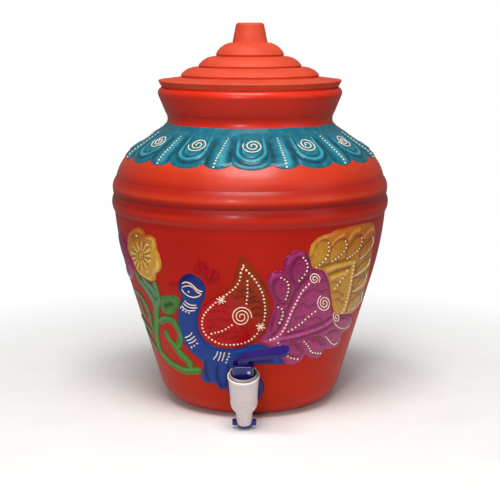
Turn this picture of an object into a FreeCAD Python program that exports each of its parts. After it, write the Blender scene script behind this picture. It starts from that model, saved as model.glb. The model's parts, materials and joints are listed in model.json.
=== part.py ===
import FreeCAD, Part
import math
import os
import re
import Sketcher

# A painted clay water pot with a stepped clay lid and a push-lever tap.
# Units are millimetres and degrees. Z is up, the origin is the centre of the base's underside,
# and the tap points along -Y. The pot's painted and carved ornament isn't part of these solids.

SIZES = {
    # The pot's outside, from the base up; a step or a rise is counted from the one before
    "foot_radius": 62.0,
    "edge_radius": 31.0,
    "side_slope": 16.4,
    "side_top_height": 134.0,
    "belly_radius": 135.8,
    "belly_height": 195.0,
    "belly_sag": 1.4,
    "groove_step": 0.6,
    "groove_rise": 17.0,
    "ridge_swell": 2.3,
    "valley_step": 2.6,
    "valley_rise": 17.0,
    "shoulder_step": 23.8,
    "shoulder_rise": 31.3,
    "shoulder_swell": 4.2,
    "shoulder_slope": 34.9,
    "neck_base_step": 21.5,
    "neck_step": 4.3,
    "neck_rise": 16.7,
    "neck_hollow": 4.0,
    "lip_step": 1.5,
    "lip_rise": 19.0,
    "lip_radius": 5.8,
    "lip_tuck": 25.0,
    "wall": 9.0,
    # The lid, with heights above the pot's lip
    "lid_height": 62.2,
    "lid_wall": 7.0,
    "lid_flange_step": 5.1,
    "lid_flange_height": 6.8,
    "lid_flange_undercut": 3.2,
    "lid_flange_edge": 1.2,
    "tier_undercut": 1.0,
    "tier_drop": 2.0,
    "tier_swell": 2.8,
    "low_tier_radius": 68.6,
    "low_tier_height": 11.6,
    "middle_tier_radius": 51.0,
    "middle_tier_height": 20.8,
    "top_tier_radius": 33.8,
    "top_tier_height": 31.6,
    "knob_base_radius": 17.4,
    "knob_base_height": 43.0,
    "knob_top_radius": 14.2,
    "knob_edge": 3.4,
    "lid_spigot_depth": 9.0,
    "lid_spigot_thickness": 6.0,
    "lid_spigot_play": 2.0,
    # Where the tap goes through the wall
    "tap_height": 35.0,
    "tap_tilt": 18.0,
    "tap_reach": 28.0,
    "front_seat_depth": 2.2,
    "back_seat_depth": 0.6,
    "seat_margin": 0.8,
    "shank_hole_play": 0.8,
    # The tap's body, measured up and down its barrel from the shank's axis
    "cup_height": 32.0,
    "cup_radius": 14.9,
    "cup_wall": 0.9,
    "cup_depth": 6.0,
    "rim_band": 3.0,
    "rim_edge": 0.6,
    "barrel_top_radius": 14.2,
    "barrel_foot_radius": 12.7,
    "barrel_foot_height": 4.0,
    "barrel_bore_radius": 11.2,
    "chamber_radius": 9.0,
    "chamber_top": 14.0,
    "chamber_drop": 5.5,
    "valve_lip_height": 1.5,
    "valve_lip_width": 1.2,
    "shoulder_round": 1.7,
    "nozzle_top_radius": 8.2,
    "nozzle_end_radius": 7.0,
    "nozzle_top_drop": 7.5,
    "nozzle_end_drop": 22.0,
    "nozzle_bore_radius": 5.2,
    "shank_radius": 8.0,
    "shank_bore_radius": 4.8,
    "shank_tail": 4.0,
    "flange_radius": 11.0,
    "flange_thickness": 3.0,
    # Washers, trim ring and nut on the shank
    "washer_thickness": 2.5,
    "washer_radius": 13.7,
    "washer_play": 0.1,
    "wall_ring_width": 3.4,
    "wall_ring_thickness": 3.2,
    "nut_width": 24.0,
    "nut_thickness": 8.0,
    "thread_play": 0.05,
    # Bonnet and its O-rings
    "bonnet_radius": 13.3,
    "bonnet_rise": 2.5,
    "bonnet_wall": 1.1,
    "bonnet_recess": 6.5,
    "bonnet_socket_depth": 6.0,
    "oring_wire": 1.6,
    "oring_squeeze": 0.05,
    "stem_oring_rise": 3.0,
    # Swivel hub
    "hub_length": 20.0,
    "hub_depth": 15.0,
    "hub_rise": 13.0,
    "hub_corner": 3.6,
    "hub_edge": 1.2,
    "hub_foot_radius": 11.6,
    "hub_foot_thickness": 2.5,
    "hub_spigot_radius": 5.0,
    "hub_slot_width": 8.0,
    "hub_slot_rise": 2.8,
    "running_play": 0.05,
    "stem_play": 0.3,
    # Lever and its pin
    "pin_radius": 1.5,
    "pin_rise": 7.5,
    "pin_offset": 5.5,
    "lever_foot_width": 7.2,
    "lever_foot_round": 3.3,
    "lever_neck_length": 9.6,
    "paddle_rise": 19.0,
    "paddle_slope": 12.0,
    "paddle_thickness": 3.4,
    "paddle_heel": 7.5,
    "paddle_reach": 43.0,
    "paddle_root_width": 10.0,
    "paddle_tip_width": 15.5,
    "prong_reach": 3.6,
    "fork_web": 1.2,
    # Stem, seat and spring
    "stem_radius": 1.6,
    "stem_foot_radius": 5.5,
    "stem_foot_thickness": 2.0,
    "stem_stub_radius": 2.0,
    "cross_bar_radius": 1.6,
    "cross_bar_length": 6.8,
    "cross_bar_play": 0.15,
    "seat_cup_radius": 7.2,
    "seat_cup_height": 3.6,
    "seat_cup_edge": 1.5,
    "seat_cup_sole": 1.2,
    "seat_gap": 0.1,
    "spring_radius": 4.2,
    "spring_wire": 0.8,
    "spring_turns": 5.0,
    # Outlet ring
    "outlet_lip": 1.8,
    "outlet_lip_radius": 7.3,
    "outlet_sleeve": 0.8,
    "outlet_sleeve_height": 6.0,
    "ear_reach": 11.3,
    "ear_width": 4.6,
    "ear_rise": 2.6,
    "ear_play": 0.3,
}

# Sums of sizes that more than one piece uses
SUMS = {
    "side_foot_radius": "(foot_radius + edge_radius * cos(side_slope))",
    "side_foot_height": "(edge_radius * (1 - sin(side_slope)))",
    "side_top_radius": "(side_foot_radius + (side_top_height - side_foot_height) * tan(side_slope))",
    "tap_wall_radius": "(side_foot_radius + (tap_height - side_foot_height) * tan(side_slope))",
    "groove_radius": "(belly_radius + groove_step)",
    "groove_height": "(belly_height + groove_rise)",
    "valley_radius": "(groove_radius - valley_step)",
    "valley_height": "(groove_height + valley_rise)",
    "shoulder_radius": "(valley_radius - shoulder_step)",
    "shoulder_height": "(valley_height + shoulder_rise)",
    "neck_base_radius": "(shoulder_radius - neck_base_step)",
    "neck_base_height": "(shoulder_height + neck_base_step * tan(shoulder_slope))",
    "neck_radius": "(neck_base_radius - neck_step)",
    "neck_height": "(neck_base_height + neck_rise)",
    "lip_centre_radius": "(neck_radius + lip_step)",
    "lip_centre_height": "(neck_height + lip_rise)",
    "rim_height": "(lip_centre_height + lip_radius)",
    "inner_neck_radius": "(neck_radius - wall)",
    "lid_flange_radius": "(lip_centre_radius + lid_flange_step)",
    "tap_stand": "(tap_reach - front_seat_depth)",
    "seat_back": "(tap_stand + wall / cos(side_slope - tap_tilt) - back_seat_depth)",
    "shank_end": "(seat_back + washer_thickness + nut_thickness + shank_tail)",
    "shelf_height": "(cup_height - cup_depth)",
    "bonnet_top": "(cup_height + bonnet_rise)",
    "bonnet_floor": "(bonnet_top - bonnet_recess)",
    "bonnet_socket_floor": "(bonnet_floor - bonnet_socket_depth)",
    "stem_bore_radius": "(stem_radius + running_play)",
    "stem_oring_radius": "(stem_radius + oring_wire / 2 + oring_squeeze)",
    "hub_base": "(bonnet_floor + running_play)",
    "hub_top": "(cup_height + hub_rise)",
    "hub_slot_floor": "(cup_height + hub_slot_rise)",
    "pin_height": "(cup_height + pin_rise)",
    "valve_lip_top": "(valve_lip_height - chamber_drop)",
    "seat_cup_base": "(valve_lip_top + seat_gap)",
    "seat_cup_top": "(seat_cup_base + seat_cup_height)",
    "stem_foot_top": "(seat_cup_top + stem_foot_thickness)",
    "paddle_height": "(cup_height + paddle_rise)",
    "outlet_base": "(0 - nozzle_end_drop - outlet_lip)",
    "wall_ring_bore": "(washer_radius + washer_play)",
}

doc = FreeCAD.newDocument("water_pot")
sheet = doc.addObject("Spreadsheet::Sheet", "Sizes")
for row, (size, value) in enumerate(SIZES.items(), start=1):
    sheet.set(f"A{row}", size)
    sheet.set(f"B{row}", str(value))
    sheet.setAlias(f"B{row}", size)
doc.recompute()

WORD = re.compile(r"[a-z]+(?:_[a-z]+)*")
HALF_ROUND = "half round"


def spelled(formula):
    """The formula with each sum written out and each size read from the sheet."""
    def word(match):
        name = match[0]
        if name in SUMS:
            return WORD.sub(word, SUMS[name])
        return f"Sizes.{name}" if name in SIZES else name

    return WORD.sub(word, str(formula))


def number(formula):
    return float(sheet.evalExpression(spelled(formula)))


def bind(thing, path, formula):
    thing.setExpression(path, spelled(formula))


def new_body(name):
    return doc.addObject("PartDesign::Body", name)


def new_sketch(body, name, role="XZ_Plane", offset=None):
    """A sketch on a plane of the body; offset moves it along local +Y on XZ and along +Z on XY."""
    sketch = body.newObject("Sketcher::SketchObject", name)
    plane = next(f for f in body.Origin.OriginFeatures if f.Role == role)
    sketch.AttachmentSupport = [(plane, "")]
    sketch.MapMode = "FlatFace"
    if offset is not None:
        sign = "-" if role == "XZ_Plane" else ""
        bind(sketch, "AttachmentOffset.Base.z", f"{sign}({offset})")
    return sketch


def pin_to(sketch, edge, end, x, y):
    """Hold a point of the sketch at formulas for its two coordinates."""
    if x == "0":
        sketch.addConstraint(Sketcher.Constraint("PointOnObject", edge, end, -2))
    else:
        index = sketch.addConstraint(Sketcher.Constraint("DistanceX", -1, 1, edge, end, number(x)))
        bind(sketch, f"Constraints[{index}]", x)
    if y == "0":
        sketch.addConstraint(Sketcher.Constraint("PointOnObject", edge, end, -1))
    else:
        index = sketch.addConstraint(Sketcher.Constraint("DistanceY", -1, 1, edge, end, number(y)))
        bind(sketch, f"Constraints[{index}]", y)


def add_arc(sketch, start, stop, swell):
    """An arc that swells to the right of the way from start to stop, or to the left if negative."""
    along = stop - start
    right = FreeCAD.Vector(along.y, -along.x, 0).normalize()
    radius = (along.Length ** 2 / 4 + swell ** 2) / (2 * abs(swell))
    stand_off = math.copysign(radius - abs(swell), swell)
    centre = (start + stop) * 0.5 - right * stand_off
    first, last = (start, stop) if swell > 0 else (stop, start)
    from_angle = math.atan2(first.y - centre.y, first.x - centre.x)
    to_angle = math.atan2(last.y - centre.y, last.x - centre.x)
    if to_angle <= from_angle:
        to_angle += 2 * math.pi
    circle = Part.Circle(centre, FreeCAD.Vector(0, 0, 1), radius)
    edge = sketch.addGeometry(Part.ArcOfCircle(circle, from_angle, to_angle))
    return (edge, 1, 2) if swell > 0 else (edge, 2, 1)


def hold_arc(sketch, edge, here, after):
    """Fix how far an arc swells, as a radius, or as a centre halfway for a half round."""
    swell = here[2]
    if swell == HALF_ROUND:
        sketch.addConstraint(Sketcher.Constraint("Symmetric", edge, 1, edge, 2, edge, 3))
        return
    chord_squared = f"(({after[0]} - ({here[0]}))^2 + ({after[1]} - ({here[1]}))^2)"
    radius = f"({chord_squared} / 4 + ({swell})^2) / (2 * abs({swell}))"
    index = sketch.addConstraint(Sketcher.Constraint("Radius", edge, number(radius)))
    bind(sketch, f"Constraints[{index}]", radius)


def draw_outline(sketch, corners):
    """A closed outline. Each corner is x, y and, before an arc, how far the arc swells to the right."""
    points = [FreeCAD.Vector(number(c[0]), number(c[1]), 0) for c in corners]
    ends = []
    for here, corner in enumerate(corners):
        start, stop = points[here], points[(here + 1) % len(corners)]
        if len(corner) == 2:
            ends.append((sketch.addGeometry(Part.LineSegment(start, stop)), 1, 2))
        else:
            half_round = corner[2] == HALF_ROUND
            swell = start.distanceToPoint(stop) / 2 if half_round else number(corner[2])
            ends.append(add_arc(sketch, start, stop, swell))
    for here, corner in enumerate(corners):
        after = (here + 1) % len(corners)
        edge, begin, end = ends[here]
        sketch.addConstraint(Sketcher.Constraint("Coincident", edge, end, *ends[after][:2]))
        pin_to(sketch, edge, begin, corner[0], corner[1])
        if len(corner) == 3:
            hold_arc(sketch, edge, corner, corners[after])


def draw_circle(sketch, radius, x="0", y="0"):
    centre = FreeCAD.Vector(number(x), number(y), 0)
    edge = sketch.addGeometry(Part.Circle(centre, FreeCAD.Vector(0, 0, 1), number(radius)))
    index = sketch.addConstraint(Sketcher.Constraint("Radius", edge, number(radius)))
    bind(sketch, f"Constraints[{index}]", radius)
    pin_to(sketch, edge, 3, x, y)


def revolve(body, name, corners, cut=False):
    """Turn an outline of radius and height about the body's own Z axis."""
    sketch = new_sketch(body, f"{name}_outline")
    draw_outline(sketch, corners)
    feature = body.newObject("PartDesign::Groove" if cut else "PartDesign::Revolution", name)
    feature.Profile = sketch
    feature.ReferenceAxis = (sketch, ["V_Axis"])
    feature.Angle = 360
    return feature


def extrude(body, name, sketch, length, both_ways=False, backward=False, cut=False):
    feature = body.newObject("PartDesign::Pocket" if cut else "PartDesign::Pad", name)
    feature.Profile = sketch
    if both_ways:
        feature.SideType = "Symmetric"
    feature.Reversed = backward
    bind(feature, "Length", length)
    return feature


def set_on_tap(thing):
    """Place a piece that is drawn about the barrel: local Z is the barrel's axis, local Y goes inwards."""
    thing.Placement = FreeCAD.Placement(
        FreeCAD.Vector(0, 0, 0), FreeCAD.Rotation(FreeCAD.Vector(1, 0, 0), number("tap_tilt"))
    )
    bind(thing, "Placement.Base.y", "0 - tap_wall_radius - tap_stand * cos(tap_tilt)")
    bind(thing, "Placement.Base.z", "tap_height - tap_stand * sin(tap_tilt)")
    bind(thing, "Placement.Rotation.Angle", "tap_tilt")


def round_disc(body, name, radius, start, thickness, cut=False):
    """A disc about the shank's axis, from start along it."""
    sketch = new_sketch(body, f"{name}_circle", offset=start)
    draw_circle(sketch, radius)
    return extrude(body, name, sketch, thickness, backward=not cut, cut=cut)


def shank_ring(label, outer, bore, start, thickness):
    """A flat ring on the shank, such as a washer."""
    body = new_body(label)
    sketch = new_sketch(body, f"{label}_circles", offset=start)
    draw_circle(sketch, outer)
    draw_circle(sketch, bore)
    extrude(body, f"{label}_ring", sketch, thickness, backward=True)
    set_on_tap(body)
    return body


def torus_ring(label, radius, height):
    """An O-ring about the barrel's axis."""
    body = new_body(label)
    sketch = new_sketch(body, f"{label}_section")
    draw_circle(sketch, "oring_wire / 2", radius, height)
    ring = body.newObject("PartDesign::Revolution", f"{label}_turn")
    ring.Profile = sketch
    ring.ReferenceAxis = (sketch, ["V_Axis"])
    ring.Angle = 360
    set_on_tap(body)
    return body


def shank_cylinder(name, radius, start, length):
    """A cutting cylinder along the shank's axis, placed in the pot's frame."""
    cylinder = doc.addObject("Part::Cylinder", name)
    cylinder.Placement = FreeCAD.Placement(
        FreeCAD.Vector(0, 0, 0), FreeCAD.Rotation(FreeCAD.Vector(-1, 0, 0), 90 - number("tap_tilt"))
    )
    bind(cylinder, "Radius", radius)
    bind(cylinder, "Height", length)
    bind(cylinder, "Placement.Base.y", f"0 - tap_wall_radius + ({start} - tap_stand) * cos(tap_tilt)")
    bind(cylinder, "Placement.Base.z", f"tap_height + ({start} - tap_stand) * sin(tap_tilt)")
    bind(cylinder, "Placement.Rotation.Angle", "90 - tap_tilt")
    return cylinder


def cut_away(name, base, tools):
    for count, tool in enumerate(tools):
        last = count == len(tools) - 1
        cut = doc.addObject("Part::Cut", name if last else f"{name}_cut_{count}")
        cut.Base = base
        cut.Tool = tool
        base = cut
    return base


def edge_swell(radius, sweep):
    """How far an arc of this radius and sweep stands off its chord."""
    return f"({radius}) * (1 - cos(({sweep}) / 2))"


def make_pot_body():
    """The thrown clay wall, with two ridges, a rolled lip and a seated hole for the tap."""
    clay = new_body("pot_clay")
    revolve(clay, "pot_wall", [
        ("0", "0"),
        ("foot_radius", "0", edge_swell("edge_radius", "90 - side_slope")),
        ("side_foot_radius", "side_foot_height"),
        ("side_top_radius", "side_top_height", "belly_sag"),
        ("belly_radius", "belly_height", "ridge_swell"),
        ("groove_radius", "groove_height", "ridge_swell"),
        ("valley_radius", "valley_height", "shoulder_swell"),
        ("shoulder_radius", "shoulder_height"),
        ("neck_base_radius", "neck_base_height", "0 - neck_hollow"),
        ("neck_radius", "neck_height"),
        (
            "lip_centre_radius + lip_radius * cos(lip_tuck)",
            "lip_centre_height - lip_radius * sin(lip_tuck)",
            edge_swell("lip_radius", "90 + lip_tuck"),
        ),
        ("lip_centre_radius", "rim_height", edge_swell("lip_radius", "90")),
        ("lip_centre_radius - lip_radius", "lip_centre_height"),
        ("inner_neck_radius", "neck_height", "wall / 6"),
        ("neck_base_radius - wall", "neck_base_height - wall * cos(shoulder_slope)"),
        (
            "shoulder_radius - wall * sin(shoulder_slope)",
            "shoulder_height - wall * cos(shoulder_slope)",
            "0 - shoulder_swell",
        ),
        ("belly_radius - wall", "valley_height - wall"),
        ("belly_radius - wall", "belly_height", "0 - belly_sag"),
        ("side_top_radius - wall * cos(side_slope)", "side_top_height + wall * sin(side_slope)"),
        (
            "foot_radius + (edge_radius - wall) * cos(side_slope)",
            "edge_radius - (edge_radius - wall) * sin(side_slope)",
            "0 - " + edge_swell("edge_radius - wall", "90 - side_slope"),
        ),
        ("foot_radius", "wall"),
        ("0", "wall"),
    ])
    hole = shank_cylinder("tap_hole", "shank_radius + shank_hole_play", "0", "shank_end")
    front = shank_cylinder("front_seat", "wall_ring_bore + wall_ring_width + seat_margin", "0", "tap_reach")
    back = shank_cylinder("back_seat", "washer_radius + seat_margin", "seat_back", "shank_end")
    return cut_away("pot_body", clay, [hole, front, back])


def make_lid():
    """The stepped clay lid with its knob and a spigot that keeps it centred in the neck."""
    lid = new_body("lid")
    spigot_radius = "inner_neck_radius - lid_spigot_play"
    revolve(lid, "lid_clay", [
        ("0", "top_tier_height - lid_wall"),
        ("knob_base_radius", "top_tier_height - lid_wall"),
        (f"{spigot_radius} - lid_spigot_thickness", "low_tier_height - lid_wall"),
        (f"{spigot_radius} - lid_spigot_thickness", "0 - lid_spigot_depth"),
        (spigot_radius, "0 - lid_spigot_depth"),
        (spigot_radius, "0"),
        ("lid_flange_radius - lid_flange_undercut", "0"),
        ("lid_flange_radius", "lid_flange_height - lid_flange_edge", edge_swell("lid_flange_edge", "90")),
        ("lid_flange_radius - lid_flange_edge", "lid_flange_height"),
        ("low_tier_radius - tier_undercut", "low_tier_height - tier_drop"),
        ("low_tier_radius", "low_tier_height", "tier_swell"),
        ("middle_tier_radius - tier_undercut", "middle_tier_height - tier_drop"),
        ("middle_tier_radius", "middle_tier_height", "tier_swell"),
        ("top_tier_radius - tier_undercut", "top_tier_height - tier_drop"),
        ("top_tier_radius", "top_tier_height", "tier_swell"),
        ("knob_base_radius", "knob_base_height"),
        ("knob_top_radius", "lid_height - knob_edge", edge_swell("knob_edge", "90")),
        ("knob_top_radius - knob_edge", "lid_height"),
        ("0", "lid_height"),
    ])
    bind(lid, "Placement.Base.z", "rim_height")
    return lid


def make_tap_body():
    """Barrel, cup, nozzle and threaded shank, moulded in one piece."""
    tap = new_body("tap_body")
    revolve(tap, "barrel", [
        ("0", "0 - nozzle_end_drop"),
        ("nozzle_end_radius", "0 - nozzle_end_drop"),
        ("nozzle_top_radius", "0 - nozzle_top_drop", "shoulder_round"),
        ("barrel_foot_radius", "barrel_foot_height"),
        ("barrel_top_radius", "cup_height - rim_band"),
        ("cup_radius", "cup_height - rim_band + rim_edge"),
        ("cup_radius", "cup_height - rim_edge", edge_swell("rim_edge", "90")),
        ("cup_radius - rim_edge", "cup_height"),
        ("0", "cup_height"),
    ])
    round_disc(tap, "shank", "shank_radius", "0", "shank_end")
    flange_start = "tap_reach - washer_thickness - flange_thickness"
    round_disc(tap, "flange", "flange_radius", flange_start, "flange_thickness")
    revolve(tap, "cavity", [
        ("0", "outlet_base"),
        ("nozzle_bore_radius", "outlet_base"),
        ("nozzle_bore_radius", "valve_lip_top"),
        ("nozzle_bore_radius + valve_lip_width", "valve_lip_top"),
        ("nozzle_bore_radius + valve_lip_width", "0 - chamber_drop"),
        ("chamber_radius", "0 - chamber_drop"),
        ("chamber_radius", "chamber_top"),
        ("barrel_bore_radius", "chamber_top"),
        ("barrel_bore_radius", "shelf_height"),
        ("cup_radius - cup_wall", "shelf_height"),
        ("cup_radius - cup_wall", "bonnet_top"),
        ("0", "bonnet_top"),
    ], cut=True)
    round_disc(tap, "shank_bore", "shank_bore_radius", "0", "shank_end", cut=True)
    set_on_tap(tap)
    return tap


def make_bonnet():
    """The plug that closes the barrel, guides the stem and carries the swivelling hub."""
    bonnet = new_body("bonnet")
    groove_floor = "chamber_top + stem_oring_rise"
    groove_radius = "stem_oring_radius + oring_wire / 2 + oring_squeeze"
    groove_top = f"{groove_floor} + oring_wire + 2 * oring_squeeze"
    plug_radius = "barrel_bore_radius - thread_play"
    notch = "(oring_wire + 2 * oring_squeeze)"
    revolve(bonnet, "bonnet_plug", [
        ("stem_bore_radius", "chamber_top"),
        (plug_radius, "chamber_top"),
        (plug_radius, f"shelf_height - {notch}"),
        (f"{plug_radius} - {notch}", f"shelf_height - {notch}"),
        (f"{plug_radius} - {notch}", "shelf_height"),
        ("bonnet_radius", "shelf_height"),
        ("bonnet_radius", "bonnet_top"),
        ("bonnet_radius - bonnet_wall", "bonnet_top"),
        ("bonnet_radius - bonnet_wall", "bonnet_floor"),
        ("hub_spigot_radius + running_play", "bonnet_floor"),
        ("hub_spigot_radius + running_play", "bonnet_socket_floor"),
        ("stem_bore_radius", "bonnet_socket_floor"),
        ("stem_bore_radius", groove_top),
        (groove_radius, groove_top),
        (groove_radius, groove_floor),
        ("stem_bore_radius", groove_floor),
    ])
    set_on_tap(bonnet)
    return bonnet


def make_orings():
    half_notch = "oring_wire / 2 + oring_squeeze"
    torus_ring("stem_oring", "stem_oring_radius", f"chamber_top + stem_oring_rise + {half_notch}")
    torus_ring(
        "bonnet_oring",
        f"barrel_bore_radius - thread_play - ({half_notch})",
        f"shelf_height - ({half_notch})",
    )


def top_edges(shape, height):
    return [
        f"Edge{count}"
        for count, edge in enumerate(shape.Edges, start=1)
        if all(abs(v.Z - height) < 1e-4 for v in edge.Vertexes)
    ]


def make_hub():
    """The blue block that turns in the bonnet and holds the lever between two cheeks."""
    hub = new_body("hub")
    block = new_sketch(hub, "hub_plan", role="XY_Plane", offset="hub_base")
    half_x, half_y, corner = "hub_length / 2", "hub_depth / 2", "hub_corner"
    swell = edge_swell(corner, "90")
    draw_outline(block, [
        (half_x, f"{corner} - {half_y}"),
        (half_x, f"{half_y} - {corner}", swell),
        (f"{half_x} - {corner}", half_y),
        (f"{corner} - {half_x}", half_y, swell),
        (f"0 - {half_x}", f"{half_y} - {corner}"),
        (f"0 - {half_x}", f"{corner} - {half_y}", swell),
        (f"{corner} - {half_x}", f"0 - {half_y}"),
        (f"{half_x} - {corner}", f"0 - {half_y}", swell),
    ])
    pad = extrude(hub, "hub_block", block, "hub_top - hub_base")
    doc.recompute()
    edge_round = hub.newObject("PartDesign::Fillet", "hub_round")
    edge_round.Base = (pad, top_edges(pad.Shape, number("hub_top")))
    bind(edge_round, "Radius", "hub_edge")
    foot = new_sketch(hub, "hub_foot_circle", role="XY_Plane", offset="hub_base")
    draw_circle(foot, "hub_foot_radius")
    extrude(hub, "hub_foot", foot, "hub_foot_thickness")
    spigot_base = "bonnet_socket_floor + running_play"
    spigot = new_sketch(hub, "hub_spigot_circle", role="XY_Plane", offset=spigot_base)
    draw_circle(spigot, "hub_spigot_radius")
    extrude(hub, "hub_spigot", spigot, "bonnet_socket_depth")
    slot = new_sketch(hub, "hub_slot_section", role="YZ_Plane")
    draw_outline(slot, [
        ("0 - hub_slot_width / 2", "hub_slot_floor"),
        ("hub_slot_width / 2", "hub_slot_floor"),
        ("hub_slot_width / 2", "hub_top + hub_edge"),
        ("0 - hub_slot_width / 2", "hub_top + hub_edge"),
    ])
    extrude(hub, "hub_slot", slot, "2 * hub_length", both_ways=True, cut=True)
    bore = new_sketch(hub, "hub_bore_circle", role="XY_Plane")
    draw_circle(bore, "stem_radius + stem_play")
    extrude(hub, "hub_bore", bore, "hub_top", backward=True, cut=True)
    cross = new_sketch(hub, "hub_pin_circle")
    draw_circle(cross, "pin_radius", "pin_offset", "pin_height")
    extrude(hub, "hub_pin_hole", cross, "2 * hub_depth", both_ways=True, cut=True)
    set_on_tap(hub)
    return hub


def make_lever_pin():
    pin = new_body("lever_pin")
    circle = new_sketch(pin, "lever_pin_circle")
    draw_circle(circle, "pin_radius", "pin_offset", "pin_height")
    extrude(pin, "lever_pin_rod", circle, "hub_depth", both_ways=True)
    set_on_tap(pin)
    return pin


def make_lever():
    """A flat paddle on a neck, whose foot is pinned in the hub and forks round the stem's cross bar."""
    side = new_body("paddle_side")
    rise = "tan(paddle_slope)"
    half = "paddle_thickness / (2 * cos(paddle_slope))"
    section = new_sketch(side, "paddle_section")
    draw_outline(section, [
        ("0 - paddle_heel", f"paddle_height - paddle_heel * {rise} - {half}"),
        ("paddle_reach", f"paddle_height + paddle_reach * {rise} - {half}"),
        ("paddle_reach", f"paddle_height + paddle_reach * {rise} + {half}"),
        ("0 - paddle_heel", f"paddle_height - paddle_heel * {rise} + {half}"),
    ])
    extrude(side, "paddle_slab", section, "2 * paddle_tip_width", both_ways=True)
    set_on_tap(side)

    plan = new_body("paddle_plan")
    outline = new_sketch(plan, "paddle_outline", role="XY_Plane")
    root, tip = "paddle_root_width / 2", "paddle_tip_width / 2"
    draw_outline(outline, [
        ("0", f"0 - {root}"),
        (f"paddle_reach - {tip}", f"0 - {tip}", HALF_ROUND),
        (f"paddle_reach - {tip}", tip),
        ("0", root, "paddle_heel"),
    ])
    extrude(plan, "paddle_column", outline, "2 * paddle_height")
    set_on_tap(plan)

    paddle = doc.addObject("Part::MultiCommon", "paddle")
    paddle.Shapes = [side, plan]

    foot = new_body("lever_foot")
    neck_half = "lever_neck_length / 2"
    foot_side = new_sketch(foot, "lever_foot_section")
    foot_low = "pin_height - lever_foot_round"
    foot_high = "pin_height + lever_foot_round"
    draw_outline(foot_side, [
        ("0 - prong_reach", foot_low),
        ("pin_offset", foot_low, HALF_ROUND),
        ("pin_offset", foot_high),
        (neck_half, f"{foot_high} + lever_foot_round / 2"),
        (neck_half, f"paddle_height + {neck_half} * {rise}"),
        (f"0 - {neck_half}", f"paddle_height - {neck_half} * {rise}"),
        (f"0 - {neck_half}", f"{foot_high} + lever_foot_round / 2"),
        ("0 - prong_reach", foot_high),
    ])
    extrude(foot, "lever_foot_block", foot_side, "lever_foot_width", both_ways=True)
    bar_half = "cross_bar_radius + cross_bar_play"
    fork = new_sketch(foot, "lever_fork_section")
    draw_outline(fork, [
        ("0 - lever_neck_length", f"pin_height - ({bar_half})"),
        ("0", f"pin_height - ({bar_half})", HALF_ROUND),
        ("0", f"pin_height + {bar_half}"),
        ("0 - lever_neck_length", f"pin_height + {bar_half}"),
    ])
    extrude(foot, "lever_fork", fork, "2 * lever_foot_width", both_ways=True, cut=True)
    gap = new_sketch(foot, "lever_stem_gap_section")
    draw_outline(gap, [
        ("0 - lever_neck_length", f"{foot_low} - lever_foot_round"),
        ("pin_offset - pin_radius - fork_web", f"{foot_low} - lever_foot_round"),
        ("pin_offset - pin_radius - fork_web", "pin_height"),
        ("0 - lever_neck_length", "pin_height"),
    ])
    extrude(foot, "lever_stem_gap", gap, "2 * (stem_radius + stem_play)", both_ways=True, cut=True)
    eye = new_sketch(foot, "lever_eye_circle")
    draw_circle(eye, "pin_radius + running_play", "pin_offset", "pin_height")
    extrude(foot, "lever_eye", eye, "2 * lever_foot_width", both_ways=True, cut=True)
    set_on_tap(foot)

    lever = doc.addObject("Part::MultiFuse", "lever")
    lever.Shapes = [paddle, foot]
    lever.Refine = True
    return lever


def make_stem():
    """The rod that lifts the seat, with a cross bar that the lever's fork takes hold of."""
    stem = new_body("stem")
    revolve(stem, "stem_rod", [
        ("0", "seat_cup_base + seat_cup_sole"),
        ("stem_stub_radius", "seat_cup_base + seat_cup_sole"),
        ("stem_stub_radius", "seat_cup_top"),
        ("stem_foot_radius", "seat_cup_top"),
        ("stem_foot_radius", "stem_foot_top"),
        ("stem_radius", "stem_foot_top"),
        ("stem_radius", "pin_height"),
        ("0", "pin_height"),
    ])
    bar = new_sketch(stem, "cross_bar_circle")
    draw_circle(bar, "cross_bar_radius", "0", "pin_height")
    extrude(stem, "cross_bar", bar, "cross_bar_length", both_ways=True)
    set_on_tap(stem)
    return stem


def make_seat_cup():
    cup = new_body("seat_cup")
    revolve(cup, "seat_cup_turn", [
        ("0", "seat_cup_base"),
        ("seat_cup_radius", "seat_cup_base"),
        ("seat_cup_radius", "seat_cup_base + seat_cup_edge"),
        ("stem_foot_radius", "seat_cup_top"),
        ("stem_stub_radius", "seat_cup_top"),
        ("stem_stub_radius", "seat_cup_base + seat_cup_sole"),
        ("0", "seat_cup_base + seat_cup_sole"),
    ])
    set_on_tap(cup)
    return cup


def make_stem_spring():
    """The coil that presses the stem down, between the stem's foot and the bonnet."""
    spring = new_body("stem_spring")
    wire = new_sketch(spring, "spring_wire_circle")
    draw_circle(wire, "spring_wire / 2", "spring_radius", "stem_foot_top + spring_wire / 2 + running_play")
    coil = spring.newObject("PartDesign::AdditiveHelix", "spring_coil")
    coil.Profile = wire
    coil.ReferenceAxis = (wire, ["V_Axis"])
    coil.Mode = "height-turns-angle"
    bind(coil, "Height", "chamber_top - stem_foot_top - spring_wire - 2 * running_play")
    bind(coil, "Turns", "spring_turns")
    set_on_tap(spring)
    return spring


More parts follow.
